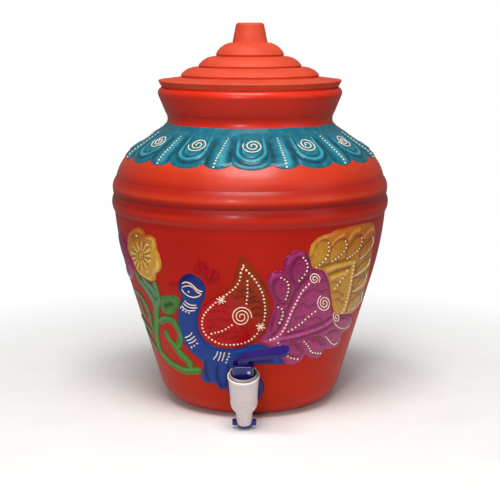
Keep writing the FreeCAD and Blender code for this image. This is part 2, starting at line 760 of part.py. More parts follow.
def make_shank_pieces():
    """What clamps the tap to the wall: trim ring and washer outside, washer and nut inside."""
    shank_ring(
        "outer_washer",
        "washer_radius",
        "shank_radius + washer_play",
        "tap_reach - washer_thickness",
        "washer_thickness",
    )
    shank_ring(
        "wall_ring",
        "wall_ring_bore + wall_ring_width",
        "wall_ring_bore",
        "tap_reach - wall_ring_thickness",
        "wall_ring_thickness",
    )
    shank_ring("inner_washer", "washer_radius", "shank_radius + washer_play", "seat_back", "washer_thickness")
    nut = new_body("shank_nut")
    plan = new_sketch(nut, "nut_plan", offset="seat_back + washer_thickness")
    draw_outline(plan, [
        (f"nut_width / sqrt(3) * cos({60 * side})", f"nut_width / sqrt(3) * sin({60 * side})")
        for side in range(6)
    ])
    draw_circle(plan, "shank_radius + thread_play")
    extrude(nut, "nut_block", plan, "nut_thickness", backward=True)
    set_on_tap(nut)


def make_outlet_ring():
    """The blue ring in the nozzle's mouth, with a lip under it and an ear on each side."""
    ring = new_body("outlet_ring")
    sleeve = "nozzle_bore_radius - running_play"
    revolve(ring, "outlet_sleeve", [
        (f"{sleeve} - outlet_sleeve", "outlet_base"),
        ("outlet_lip_radius", "outlet_base"),
        ("outlet_lip_radius", "0 - nozzle_end_drop"),
        (sleeve, "0 - nozzle_end_drop"),
        (sleeve, "outlet_sleeve_height - nozzle_end_drop"),
        (f"{sleeve} - outlet_sleeve", "outlet_sleeve_height - nozzle_end_drop"),
    ])
    for side, sign in (("right", ""), ("left", "0 - ")):
        ear = new_sketch(ring, f"{side}_ear_section")
        corners = [
            ("nozzle_end_radius - ear_play", "outlet_base"),
            ("ear_reach", "outlet_base"),
            ("ear_reach", "ear_rise - nozzle_end_drop"),
            ("outlet_lip_radius + ear_play", "ear_rise - nozzle_end_drop"),
            ("outlet_lip_radius + ear_play", "0 - nozzle_end_drop"),
            ("nozzle_end_radius - ear_play", "0 - nozzle_end_drop"),
        ]
        draw_outline(ear, [(f"{sign}({x})", y) for x, y in corners])
        extrude(ring, f"{side}_ear", ear, "ear_width", both_ways=True)
    set_on_tap(ring)
    return ring


make_pot_body()
make_lid()
make_tap_body()
make_bonnet()
make_orings()
make_hub()
make_lever_pin()
make_lever()
make_stem()
make_seat_cup()
make_stem_spring()
make_shank_pieces()
make_outlet_ring()
doc.recompute()

NODES = [
    "pot_body",
    "lid",
    "tap_body",
    "bonnet",
    "stem_oring",
    "bonnet_oring",
    "hub",
    "lever_pin",
    "lever",
    "stem",
    "seat_cup",
    "stem_spring",
    "outer_washer",
    "wall_ring",
    "inner_washer",
    "shank_nut",
    "outlet_ring",
]

for thing in doc.Objects:
    for state in ("Invalid", "Error"):
        if state in thing.State:
            raise RuntimeError(f"{thing.Label} is {state}")

os.makedirs("parts", exist_ok=True)
for label in NODES:
    shape = doc.getObjectsByLabel(label)[0].Shape
    if shape.isNull() or not shape.isValid():
        raise RuntimeError(f"{label} has no valid shape")
    box = shape.BoundBox
    volume = f"{shape.Volume / 1000:.2f} cm3"
    print(f"{label}: solids {len(shape.Solids)}, {volume}, z {box.ZMin:.2f} to {box.ZMax:.2f}")
    shape.exportStep(f"parts/{label}.step")
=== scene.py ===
import bpy
import json
import math
from functools import partial
import numpy as np
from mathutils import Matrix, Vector, geometry, noise
from mathutils.bvhtree import BVHTree


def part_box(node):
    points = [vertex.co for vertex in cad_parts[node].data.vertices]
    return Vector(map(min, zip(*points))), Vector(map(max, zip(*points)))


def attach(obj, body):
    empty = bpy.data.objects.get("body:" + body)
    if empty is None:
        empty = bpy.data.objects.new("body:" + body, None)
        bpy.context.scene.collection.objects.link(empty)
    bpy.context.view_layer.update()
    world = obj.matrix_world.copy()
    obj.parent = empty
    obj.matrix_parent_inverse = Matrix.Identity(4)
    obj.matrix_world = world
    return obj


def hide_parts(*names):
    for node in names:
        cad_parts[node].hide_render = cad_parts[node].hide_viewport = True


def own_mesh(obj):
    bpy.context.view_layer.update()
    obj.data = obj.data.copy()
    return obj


# A painted clay water pot with a tap: its looks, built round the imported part.
# Lengths in the dictionaries are millimetres and angles are degrees; Blender gets metres.
# A point (x, y) of an ornament is a pixel of the photograph. The camera's own ray takes it to the
# pot's wall, so that the ornament lies on the clay.

mm = 0.001
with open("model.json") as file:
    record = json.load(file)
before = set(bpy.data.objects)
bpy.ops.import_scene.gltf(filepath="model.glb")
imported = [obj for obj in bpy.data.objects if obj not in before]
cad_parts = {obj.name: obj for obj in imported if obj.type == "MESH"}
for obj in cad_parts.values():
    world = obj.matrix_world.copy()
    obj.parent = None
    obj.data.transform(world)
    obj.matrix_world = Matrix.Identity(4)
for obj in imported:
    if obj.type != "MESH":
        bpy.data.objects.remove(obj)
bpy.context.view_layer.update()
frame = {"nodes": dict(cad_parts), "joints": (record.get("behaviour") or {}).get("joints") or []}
nodes = frame["nodes"]
tiny = 1e-9

camera = {
    "distance": 1250.0,
    "height": 381.8,
    "tilt": 10.44,
    "azimuth": 2.7,
    "lens": 90.0,
    "sensor": 36.0,
    "pictureWidth": 500,
    "reach": 50000.0,
}
turn, tilt = math.radians(camera["azimuth"]), math.radians(camera["tilt"])
away = camera["distance"] * mm
eye = Vector((away * math.sin(turn), -away * math.cos(turn), camera["height"] * mm))
rightWay = Vector((math.cos(turn), math.sin(turn), 0))
lookWay = Vector((-math.sin(turn) * math.cos(tilt), math.cos(turn) * math.cos(tilt), -math.sin(tilt)))
upWay = rightWay.cross(lookWay)
pixelSize = camera["sensor"] / camera["lens"] / camera["pictureWidth"]
pictureMiddle = camera["pictureWidth"] / 2


# The pot's outside wall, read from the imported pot: its radius and height along a meridian

wallStep = 1.0
edgeSearch = 12      # pixels that a point past the wall's outline may be moved inwards
clearOfPot = 300.0   # from the axis
reliefRoom = 12.0    # above the wall, more than any relief rises


def treeOf(things):
    corners, polygons = [], []
    for thing in things:
        start = len(corners)
        corners += [v.co.copy() for v in thing.data.vertices]
        polygons += [[start + index for index in p.vertices] for p in thing.data.polygons]
    return BVHTree.FromPolygons(corners, polygons)


potTree = treeOf([nodes["pot_body"]])
wallHeights = np.arange(wallStep / 2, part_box("pot_body")[1].z / mm - wallStep / 2, wallStep) * mm
rayStarts = [Vector((0, clearOfPot * mm, height)) for height in wallHeights]
wallRadii = np.array([potTree.ray_cast(start, Vector((0, -1, 0)))[0].y for start in rayStarts])
wallAlong = np.concatenate([[0], np.cumsum(np.hypot(np.diff(wallHeights), np.diff(wallRadii)))])


def alongAt(height):
    return float(np.interp(height * mm, wallHeights, wallAlong))


def radiusAt(along):
    return float(np.interp(along, wallAlong, wallRadii))


def wallNormal(angle, along):
    ends = np.array([along - 2 * wallStep * mm, along + 2 * wallStep * mm])
    spread, rise = (np.diff(np.interp(ends, wallAlong, values))[0] for values in (wallRadii, wallHeights))
    size = math.hypot(spread, rise)
    return Vector((rise * math.sin(angle), -rise * math.cos(angle), -spread)) / size


def wallPoint(angle, along, lift=0.0):
    radius, height = radiusAt(along), np.interp(along, wallAlong, wallHeights)
    place = Vector((radius * math.sin(angle), -radius * math.cos(angle), height))
    return place + wallNormal(angle, along) * lift * mm


def pixelOnWall(pixel):
    # Angle about the pot's axis (0 is the front) and way along the meridian, under a pixel
    for inset in range(edgeSearch):
        across = (abs(pixel[0] - pictureMiddle) - inset) * math.copysign(1, pixel[0] - pictureMiddle)
        ray = lookWay + rightWay * across * pixelSize + upWay * (pictureMiddle - pixel[1]) * pixelSize
        hit = potTree.ray_cast(eye, ray.normalized())[0]
        if hit is not None:
            return math.atan2(hit.x, -hit.y), alongAt(hit.z / mm)
    raise ValueError(f"the ornament's point {pixel} isn't on the pot")


def pixelOf(place):
    offset = place - eye
    depth = offset.dot(lookWay) * pixelSize
    across, down = offset.dot(rightWay) / depth, -offset.dot(upWay) / depth
    return np.array([pictureMiddle + across, pictureMiddle + down])


print("wall read")


# Materials

def linear(code):
    # An sRGB hex colour as the linear colour that Blender works in
    parts = [int(code[start:start + 2], 16) / 255 for start in (1, 3, 5)]
    return tuple(p / 12.92 if p <= 0.04045 else ((p + 0.055) / 1.055) ** 2.4 for p in parts) + (1.0,)


def addNode(tree, kind, links=None, stops=(), out=0, **settings):
    # A node with its settings, its input values or links, and a ramp's stops; gives one of its outputs.
    # MapRange has its value at 0, from and to at 1 to 4; Mix has its share at 0, its colours at 6 and 7.
    node = tree.nodes.new("ShaderNode" + kind)
    for name, value in settings.items():
        setattr(node, name, value)
    for count, (place, code) in enumerate(stops):
        elements = node.color_ramp.elements
        element = elements[count] if count < len(elements) else elements.new(place)
        element.position = place
        element.color = linear(code)
    for socket, value in (links or {}).items():
        if isinstance(value, bpy.types.NodeSocket):
            tree.links.new(value, node.inputs[socket])
        elif isinstance(value, str):
            node.inputs[socket].default_value = linear(value)
        else:
            node.inputs[socket].default_value = value
    return node.outputs[out] if len(node.outputs) else node


def newMaterial(name):
    material = bpy.data.materials.new(name)
    material.use_nodes = True
    material.node_tree.nodes.clear()
    add = partial(addNode, material.node_tree)
    return material, add, add("TexCoord", out="Object")


def finishMaterial(material, **values):
    # Values and links of the Principled shader, under the sockets' own names
    links = {name.replace("_", " "): value for name, value in values.items()}
    shader = addNode(material.node_tree, "BsdfPrincipled", links)
    addNode(material.node_tree, "OutputMaterial", {"Surface": shader})
    return material


# The red by height in mm: browner low down, painted shade in the grooves, painted highlight on the ridge
# crests and painted light up the shoulder and neck
redTonesPaintedLight = [(0, "#B42806"), (60, "#BC2206"), (120, "#BE1B08"), (188, "#C01A08"), (193, "#B01606"),
            (198, "#C01C0A"), (203, "#D0280E"), (207, "#A01006"), (213, "#8E0E05"), (217, "#BC1E0A"),
            (220, "#DA3E1A"), (225, "#BC200A"), (228, "#B01A08"), (236, "#CC2E0E"), (250, "#D63A14"),
            (285, "#E0260A"), (325, "#E62C0C")]
redSheen = {"from": 140, "to": 245, "low": 0.08, "high": 0.4}


def makeRedPaint():
    # Satin enamel brushed over thrown clay: painted shade and highlight by height, soft blotches, faint
    # bands round the pot, and a sheen that is broad at the shoulder and dull towards the foot
    material, add, place = newMaterial("redPaint")
    height = add("SeparateXYZ", {0: place}, out=2)
    top = redTonesPaintedLight[-1][0]
    share = add("MapRange", {0: height, 1: 0.0, 2: top * mm, 3: 0.0, 4: 1.0})
    stops = [(level / top, code) for level, code in redTonesPaintedLight]
    shadedTone = add("ValToRGB", {0: share}, stops)
    blotches = add("TexNoise", {"Vector": place, "Scale": 1 / (55 * mm), "Detail": 3.0})
    cloud = add("ValToRGB", {0: blotches}, [(0.3, "#F0F0F0"), (0.7, "#FFFFFF")])
    base = add("Mix", {0: 1.0, 6: shadedTone, 7: cloud}, out=2, data_type="RGBA", blend_type="MULTIPLY")
    flat = add("Mapping", {"Vector": place, "Scale": (0.1, 0.1, 1.2)})
    bands = add("TexNoise", {"Vector": flat, "Scale": 1 / (12 * mm), "Detail": 4.0})
    worn = add("MapRange", {0: bands, 1: 0.35, 2: 0.75, 3: 0.0, 4: 0.25})
    colour = add("Mix", {0: worn, 6: base, 7: "#A01E0C"}, out=2, data_type="RGBA")
    thrown = add("Bump", {"Height": bands, "Distance": 0.5 * mm})
    skin = add("TexNoise", {"Vector": place, "Scale": 1 / (1.4 * mm), "Detail": 2.0})
    grain = add("Bump", {"Height": skin, "Distance": 0.04 * mm, "Normal": thrown})
    rough = add("MapRange", {0: blotches, 1: 0.3, 2: 0.7, 3: 0.32, 4: 0.42})
    limits = {1: redSheen["from"] * mm, 2: redSheen["to"] * mm, 3: redSheen["low"], 4: redSheen["high"]}
    sheen = add("MapRange", {0: height, **limits})
    return finishMaterial(material, Base_Color=colour, Roughness=rough, Normal=grain, IOR=1.48,
                          Specular_IOR_Level=sheen, Coat_Weight=0.08, Coat_Roughness=0.14)


def makeBareClay():
    # Unpainted fired clay inside the pot: chalky orange-brown with turning marks and fine sand
    material, add, place = newMaterial("bareClay")
    cloud = add("TexNoise", {"Vector": place, "Scale": 1 / (30 * mm), "Detail": 4.0})
    base = add("ValToRGB", {0: cloud}, [(0.3, "#9C4F2C"), (0.7, "#B8663C")])
    grit = add("TexNoise", {"Vector": place, "Scale": 1 / (0.9 * mm), "Detail": 2.0})
    sand = add("MapRange", {0: grit, 1: 0.58, 2: 0.72, 3: 0.0, 4: 0.5})
    colour = add("Mix", {0: sand, 6: base, 7: "#D9A57E"}, out=2, data_type="RGBA")
    flat = add("Mapping", {"Vector": place, "Scale": (0.1, 0.1, 1)})
    rings = add("TexNoise", {"Vector": flat, "Scale": 1 / (6 * mm), "Detail": 3.0})
    turned = add("Bump", {"Height": rings, "Distance": 0.6 * mm})
    normal = add("Bump", {"Height": grit, "Distance": 0.1 * mm, "Normal": turned})
    return finishMaterial(material, Base_Color=colour, Roughness=0.92, Normal=normal, IOR=1.5)


def makeLidPaint():
    # Matte coral emulsion on the lid: chalky, dry-brushed in rings
    material, add, place = newMaterial("lidPaint")
    cloud = add("TexNoise", {"Vector": place, "Scale": 1 / (40 * mm), "Detail": 4.0})
    reds = [(0.3, "#CE4226"), (0.6, "#D84C2E"), (0.8, "#DE5838")]
    base = add("ValToRGB", {0: cloud}, reds)
    flat = add("Mapping", {"Vector": place, "Scale": (0.2, 0.2, 1.4)})
    brushed = add("TexNoise", {"Vector": flat, "Scale": 1 / (7 * mm), "Detail": 4.0})
    share = add("MapRange", {0: brushed, 1: 0.4, 2: 0.8, 3: 0.0, 4: 0.25})
    colour = add("Mix", {0: share, 6: base, 7: "#BC3218"}, out=2, data_type="RGBA")
    strokes = add("Bump", {"Height": brushed, "Distance": 0.3 * mm})
    chalk = add("TexNoise", {"Vector": place, "Scale": 1 / (1.1 * mm), "Detail": 3.0})
    normal = add("Bump", {"Height": chalk, "Distance": 0.08 * mm, "Normal": strokes})
    return finishMaterial(material, Base_Color=colour, Roughness=0.62, Normal=normal, IOR=1.46,
                          Specular_IOR_Level=0.4)


def makeReliefPaint(name, near, far=None, roughness=0.34, pearl=0.1):
    # Hand-brushed paint on worked clay, with painted shade in the hollows and painted highlight on the
    # crests.
    # The relief and fade attributes of the mesh say how high the clay is and how far the second mix goes.
    material, add, place = newMaterial(name)
    relief = add("Attribute", out="Fac", attribute_name="relief")
    wander = add("TexNoise", {"Vector": place, "Scale": 1 / (5 * mm), "Detail": 3.0})
    height = add("Math", {0: wander, 1: 0.3, 2: relief}, operation="MULTIPLY_ADD")
    level = add("Math", {0: height, 1: 0.15}, operation="SUBTRACT")
    places = (0.12, 0.5, 0.92)
    colour = add("ValToRGB", {0: level}, list(zip(places, near)))
    if far:
        other = add("ValToRGB", {0: level}, list(zip(places, far)))
        fade = add("Attribute", out="Fac", attribute_name="fade")
        colour = add("Mix", {0: fade, 6: colour, 7: other}, out=2, data_type="RGBA")
    long = add("Mapping", {"Vector": place, "Scale": (1, 1, 0.4)})
    strokes = add("TexNoise", {"Vector": long, "Scale": 1 / (2.4 * mm), "Detail": 3.0})
    share = add("MapRange", {0: strokes, 1: 0.5, 2: 0.8, 3: 0.0, 4: 0.3})
    colour = add("Mix", {0: share, 6: colour, 7: near[0]}, out=2, data_type="RGBA")
    normal = add("Bump", {"Height": strokes, "Distance": 0.12 * mm})
    satin, dull = roughness - 0.05, roughness + 0.08
    rough = add("MapRange", {0: wander, 1: 0.3, 2: 0.7, 3: satin, 4: dull})
    return finishMaterial(material, Base_Color=colour, Roughness=rough, Normal=normal, IOR=1.48,
                          Specular_IOR_Level=0.16, Coat_Weight=pearl, Coat_Roughness=0.16)


def makeLinePaint():
    # Thick cream relief paint of the dots and lines, a little warmer where it is thin
    material, add, place = newMaterial("linePaint")
    cloud = add("TexNoise", {"Vector": place, "Scale": 1 / (3 * mm), "Detail": 2.0})
    colour = add("ValToRGB", {0: cloud}, [(0.3, "#F4CFA4"), (0.65, "#FFEFD8")])
    normal = add("Bump", {"Height": cloud, "Distance": 0.1 * mm})
    return finishMaterial(material, Base_Color=colour, Roughness=0.42, Normal=normal, IOR=1.48)


def makePlastic(name, code, worn, roughness=0.3, grain=0.02, clear=0.0):
    # Moulded plastic or rubber: an even colour with faint flow marks, a fine skin and a clean highlight
    material, add, place = newMaterial(name)
    flow = add("TexNoise", {"Vector": place, "Scale": 1 / (11 * mm), "Detail": 3.0})
    colour = add("ValToRGB", {0: flow}, [(0.35, worn), (0.6, code)])
    skin = add("TexNoise", {"Vector": place, "Scale": 1 / (0.6 * mm), "Detail": 2.0})
    normal = add("Bump", {"Height": skin, "Distance": grain * mm})
    satin, dull = roughness - 0.04, roughness + 0.05
    rough = add("MapRange", {0: flow, 1: 0.3, 2: 0.7, 3: satin, 4: dull})
    return finishMaterial(material, Base_Color=colour, Roughness=rough, Normal=normal, IOR=1.46,
                          Coat_Weight=clear, Coat_Roughness=0.08)


dimples = {"turns": 17, "pitch": 5.2, "depth": 0.35, "from": -5.0, "to": 12.5, "soft": 2.0, "tilt": 18.0}


def makeDimpledPlastic():
    # Polypropylene of the tap's barrel: warm grey-white, with rows of small moulded dimples low down
    material, add, place = newMaterial("whitePlastic")
    pivot = jointOf("hub_swivel")["pos_m"]
    links = {"Vector": place, "Location": pivot, "Rotation": (math.radians(dimples["tilt"]), 0, 0)}
    own = add("Mapping", links, vector_type="TEXTURE")
    parts = [add("SeparateXYZ", {0: own}, out=axis) for axis in range(3)]
    angle = add("Math", {0: parts[0], 1: parts[1]}, operation="ARCTAN2")
    around = add("Math", {0: angle, 1: float(dimples["turns"])}, operation="MULTIPLY")
    rising = add("Math", {0: parts[2], 1: 2 * math.pi / (dimples["pitch"] * mm)}, operation="MULTIPLY")
    waves = [add("Math", {0: value}, operation="SINE") for value in (around, rising)]
    grid = add("Math", {0: waves[0], 1: waves[1]}, operation="MULTIPLY")
    pits = add("MapRange", {0: grid, 1: 0.45, 2: 0.85, 3: 0.0, 4: 1.0})
    low, high, soft = (dimples[key] * mm for key in ("from", "to", "soft"))
    above = add("MapRange", {0: parts[2], 1: low, 2: low + soft, 3: 0.0, 4: 1.0})
    below = add("MapRange", {0: parts[2], 1: high, 2: high - soft, 3: 0.0, 4: 1.0})
    band = add("Math", {0: above, 1: below}, operation="MULTIPLY")
    shown = add("Math", {0: pits, 1: band}, operation="MULTIPLY")
    flow = add("TexNoise", {"Vector": place, "Scale": 1 / (11 * mm), "Detail": 3.0})
    base = add("ValToRGB", {0: flow}, [(0.35, "#CBBDBE"), (0.6, "#D2C6C6")])
    # painted shade darkens the dimples
    shade = add("Math", {0: shown, 1: 0.35}, operation="MULTIPLY")
    colour = add("Mix", {0: shade, 6: base, 7: "#A08F92"}, out=2, data_type="RGBA")
    normal = add("Bump", {"Height": shown, "Distance": -dimples["depth"] * mm})
    return finishMaterial(material, Base_Color=colour, Roughness=0.36, Normal=normal, IOR=1.49)


def makeMetal(name, code, roughness, scratch):
    # Drawn stainless wire and pin: grey, with fine lines along the drawing
    material, add, place = newMaterial(name)
    long = add("Mapping", {"Vector": place, "Scale": (0.1, 1, 1)})
    lines = add("TexNoise", {"Vector": long, "Scale": 1 / (0.5 * mm), "Detail": 2.0})
    normal = add("Bump", {"Height": lines, "Distance": scratch * mm})
    satin, dull = roughness - 0.05, roughness + 0.08
    rough = add("MapRange", {0: lines, 1: 0.3, 2: 0.7, 3: satin, 4: dull})
    return finishMaterial(material, Base_Color=linear(code), Metallic=1.0, Roughness=rough, Normal=normal)


stage = {
    "floorRadius": 1500.0,
    "floorCorners": 64,
    "floorSolid": 200.0,
    "floorGone": 520.0,
    "worldLight": 0.22,
}


def makeFloorPaper():
    # Pale studio paper with a barely seen grain, thinning out into the white round it
    material, add, place = newMaterial("floorPaper")
    cloud = add("TexNoise", {"Vector": place, "Scale": 1 / (60 * mm), "Detail": 2.0})
    colour = add("ValToRGB", {0: cloud}, [(0.3, "#F4F3F1"), (0.7, "#F8F7F5")])
    reach = add("VectorMath", {0: place}, out="Value", operation="LENGTH")
    ends = {1: stage["floorSolid"] * mm, 2: stage["floorGone"] * mm, 3: 1.0, 4: 0.0}
    shown = add("MapRange", {0: reach, **ends})
    return finishMaterial(material, Base_Color=colour, Roughness=0.85, Specular_IOR_Level=0.1, Alpha=shown)


def jointOf(name):
    return next(joint for joint in frame["joints"] if joint["name"] == name)


# Each paint's hollow colour is painted shade and its crest colour painted highlight, picked by the relief
paints = {     # hollow, body and crest, then the same for the mix that the brush fades to
    "tealPaint": (("#0A3A48", "#156A7C", "#45A8BA"), None, 0.3, 0.25),
    # the blue's second mix, darker towards the top of the head, is painted shade
    "bluePaint": (("#0C1A58", "#173C8A", "#1E4A9C"), ("#080D42", "#111A62", "#18287A"), 0.36, 0.12),
    "crimsonPaint": (("#7E040C", "#B8060F", "#CC1018"), None, 0.42, 0.0),
    "purplePaint": (("#7C1C4A", "#A6346E", "#C65E96"), ("#620832", "#8E1454", "#B63078"), 0.28, 0.3),
    "goldPaint": (("#96601A", "#CC9230", "#F2C456"), ("#8A380A", "#C06A1C", "#E8982E"), 0.28, 0.3),
    # the green's second mix, lighter and greyer towards the vine's left, is a painted highlight
    "greenPaint": (("#24401A", "#477C2C", "#62A044"), ("#2C4A36", "#558450", "#8CB08C"), 0.36, 0.1),
    "flowerPaint": (("#84480A", "#D8A036", "#FFDE84"), ("#762E08", "#B65C18", "#DC8C30"), 0.3, 0.25),
    "wingPaint": (("#84040A", "#B80810", "#CC1414"), ("#5A1604", "#962E0A", "#C4581A"), 0.36, 0.06),
}
materials = {name: makeReliefPaint(name, *values) for name, values in paints.items()}
plastics = {
    # a lighter, glossier copy of the white for the cup's rim; its lighter colour is a painted highlight
    "rimHighlightPlastic": ("#F4EFF0", "#ECE5E6", 0.24, 0.01, 0.2),
    "bonnetPlastic": ("#B9A9A2", "#9C8578", 0.34),
    "blackRubber": ("#1A1A1C", "#232325", 0.6, 0.03),
    "bluePlastic": ("#14176A", "#11145C", 0.22, 0.012, 0.25),
    "leverPlastic": ("#1C1670", "#181264", 0.38, 0.03),
    "ringPlastic": ("#182488", "#142078", 0.34, 0.03),
    "stemPlastic": ("#D8D6CE", "#CDCAC0", 0.4),
    "silicone": ("#D9D5C8", "#CFCABB", 0.55),
    # the washers' dark red-brown matches the pot's red wall in shade, which shows inside the blue ring:
    # painted shade
    "washerRubberWallShade": ("#7A2A1C", "#6A2216", 0.62, 0.04),
}
materials.update({name: makePlastic(name, *values) for name, values in plastics.items()})
materials.update({
    "redPaint": makeRedPaint(),
    "bareClay": makeBareClay(),
    "lidPaint": makeLidPaint(),
    "linePaint": makeLinePaint(),
    "whitePlastic": makeDimpledPlastic(),
    "pinSteel": makeMetal("pinSteel", "#B8B8BC", 0.28, 0.01),
    "springSteel": makeMetal("springSteel", "#A6A7AB", 0.32, 0.01),
    "floorPaper": makeFloorPaper(),
})
print("materials made")


# Painted clay relief on the wall. It is mesh code, because its outlines and strokes follow the
# wall's curve, which no operator gives.

def newPiece(name, corners, faces, material, attributes=None, body="pot"):
    mesh = bpy.data.meshes.new(name)
    mesh.from_pydata([tuple(c) for c in corners], [], faces)
    mesh.validate()
    mesh.polygons.foreach_set("use_smooth", [True] * len(mesh.polygons))
    for key, values in (attributes or {}).items():
        mesh.attributes.new(key, "FLOAT", "POINT").data.foreach_set("value", list(values))
    piece = bpy.data.objects.new(name, mesh)
    bpy.context.scene.collection.objects.link(piece)
    mesh.materials.append(materials[material])
    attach(piece, body)
    return piece


def smoothLine(points, spacing, closed=False):
    # Catmull-Rom curve through the points, as points about a spacing apart
    points = [np.array(p, float) for p in points]
    if closed:
        run = [points[-1]] + points + points[:2]
    else:
        run = [2 * points[0] - points[1]] + points + [2 * points[-1] - points[-2]]
    made = []
    for a, b, c, d in zip(run, run[1:], run[2:], run[3:]):
        steps = max(1, round(float(np.linalg.norm(c - b)) / spacing))
        for count in range(steps):
            t = count / steps
            bend = (2 * a - 5 * b + 4 * c - d) * t ** 2 + (3 * b - a - 3 * c + d) * t ** 3
            made.append(0.5 * (2 * b + (c - a) * t + bend))
    if not closed:
        made.append(points[-1])
    return np.array(made)


def distanceToLine(spots, line, closed=False):
    ends = np.roll(line, -1, axis=0) if closed else line[1:]
    starts = line if closed else line[:-1]
    nearest = np.full(len(spots), 1e9)
    for start, end in zip(starts, ends):
        way = end - start
        share = np.clip((spots - start) @ way / max(way @ way, tiny), 0, 1)
        gaps = spots - start - share[:, None] * way
        nearest = np.minimum(nearest, np.hypot(gaps[:, 0], gaps[:, 1]))
    return nearest


def insideLine(spots, line):
    inside = np.zeros(len(spots), bool)
    for start, end in zip(line, np.roll(line, -1, axis=0)):
        crosses = (start[1] > spots[:, 1]) != (end[1] > spots[:, 1])
        slope = (end[0] - start[0]) / (end[1] - start[1] if end[1] != start[1] else tiny)
        inside ^= crosses & (spots[:, 0] < start[0] + (spots[:, 1] - start[1]) * slope)
    return inside


class Plan:
    # A flat map of the wall about one ornament: millimetres around and millimetres along
    def __init__(self, pixels):
        spots = [pixelOnWall(p) for p in pixels]
        self.radius = radiusAt(sum(s[1] for s in spots) / len(spots))

    def flatten(self, pixels):
        spots = map(pixelOnWall, pixels)
        return np.array([(angle * self.radius / mm, along / mm) for angle, along in spots])

    def raised(self, spot, lift):
        return wallPoint(spot[0] * mm / self.radius, spot[1] * mm, lift)

    def normal(self, spot):
        return wallNormal(spot[0] * mm / self.radius, spot[1] * mm)


def soften(values):
    values = np.clip(values, 0, 1)
    return values * values * (3 - 2 * values)


skin = {
    "grid": 0.85,        # spacing of the mesh
    "paint": 0.28,       # how far the painted edge stands off the wall
    "bank": 0.35,        # width of that edge
    "sink": 0.5,         # how far the rim goes into the clay
    "clay": 0.85,        # height that the worked clay rises to
    "shoulder": 3.6,     # over this far from the edge
    "least": 0.14,       # paint left in the deepest hollow
    # contrast: relief height from the darkest painted shade to the lightest painted highlight
    "contrast": 1.9,     # height between the darkest and the lightest paint
    "handmade": 0.12,    # rise and fall that a hand leaves,
    "handSize": 8.0,     # over this width
    "rimSpacing": 0.9,
    "strokeSpacing": 1.2,
    "rimShade": 0.12,
    "onRim": 0.01,
    "bankClear": 0.9,    # share of the bank that its corners keep from the rim
    "gridClear": 0.4,    # share of a step that the grid keeps from the bank
}
strokes = {              # what a tool leaves in the clay: half width and height
    "rings": (1.7, -0.6),
    "hollows": (2.1, -0.72),
    "ripples": (1.5, -0.48),
    "folds": (1.25, -0.46),
    "ridges": (1.5, 0.6),
    "rays": (0.65, 0.55),
    "raySlots": (0.7, -0.6),
}
painted = []


def paintedRelief(name, outline, paint, work=None, clay=skin["clay"], fade=((0, 0), (0, 1)), lift=0.0,
                  step=skin["grid"]):
    plan = Plan(outline)
    rim = smoothLine(plan.flatten(outline), skin["rimSpacing"], closed=True)
    after, before = np.roll(rim, -1, axis=0), np.roll(rim, 1, axis=0)
    ways = after - before
    inward = np.column_stack([-ways[:, 1], ways[:, 0]]) / np.hypot(ways[:, 0], ways[:, 1])[:, None]
    area = float(np.sum(rim[:, 0] * after[:, 1] - after[:, 0] * rim[:, 1])) / 2
    bank = rim + inward * math.copysign(skin["bank"], area)
    near = distanceToLine(bank, rim, closed=True)
    bank = bank[insideLine(bank, rim) & (near > skin["bankClear"] * skin["bank"])]
    low, high = rim.min(axis=0), rim.max(axis=0)
    columns, rows = (math.ceil(x / step) + 1 for x in (high - low))
    cells = [(c + 0.5 * (r % 2), r) for r in range(rows) for c in range(columns)]
    inner = low + step * np.array(cells)
    near = distanceToLine(inner, rim, closed=True)
    inner = inner[insideLine(inner, rim) & (near > skin["bank"] + skin["gridClear"] * step)]
    count = len(rim)
    loop = [(i, (i + 1) % count) for i in range(count)]
    spots = [Vector(p) for p in np.vstack([rim, bank, inner])]
    made = geometry.delaunay_2d_cdt(spots, loop, [list(range(count))], 1, 1e-6)
    flat, faces = np.array([tuple(v) for v in made[0]]), [list(f) for f in made[2]]
    depth = distanceToLine(flat, rim, closed=True)
    swell = soften((depth - skin["bank"]) / skin["shoulder"])
    worked = np.zeros(len(flat))
    for kind, lines in (work or {}).items():
        width, height = strokes[kind]
        for line in lines:
            closed = kind == "rings"
            run = smoothLine(plan.flatten(line), skin["strokeSpacing"], closed)
            reach = distanceToLine(flat, run, closed) / width
            shape = height * np.exp(-reach ** 2)
            worked = np.minimum(worked, shape) if height < 0 else worked + shape
    wobble = np.array([noise.noise(Vector((*spot, 3.0)) / skin["handSize"]) for spot in flat])
    wobble *= skin["handmade"]
    body = clay * swell
    height = skin["paint"] + np.maximum(body + (worked + wobble) * swell, skin["least"] - skin["paint"])
    # The relief attribute gives painted shade in the hollows and near the rim and painted highlight on the
    # crests
    relief = np.clip(0.5 + worked * swell / skin["contrast"] - skin["rimShade"] * (1 - swell), 0, 1)
    lifted = [h + lift if d > skin["onRim"] else -skin["sink"] for h, d in zip(height, depth)]
    corners = [plan.raised(spot, h) for spot, h in zip(flat, lifted)]
    faces = [f if facesOut(corners, f, plan.normal(flat[f[0]])) else f[::-1] for f in faces]
    addPainted(name, corners, faces, paint, relief, fade)


def addPainted(name, corners, faces, paint, relief, fade):
    # The paint's second mix comes in along the line between two pixels of the photograph
    start, way = np.array(fade[0], float), np.subtract(fade[1], fade[0])
    shares = [np.clip((pixelOf(c) - start) @ way / (way @ way), 0, 1) for c in corners]
    painted.append(newPiece(name, corners, faces, paint, {"relief": relief, "fade": shares}))


def facesOut(corners, face, normal):
    a, b, c = (corners[i] for i in face[:3])
    return (b - a).cross(c - a).dot(normal) > 0


# The teal collar round the shoulder: a smooth band that breaks up into wide and narrow petals

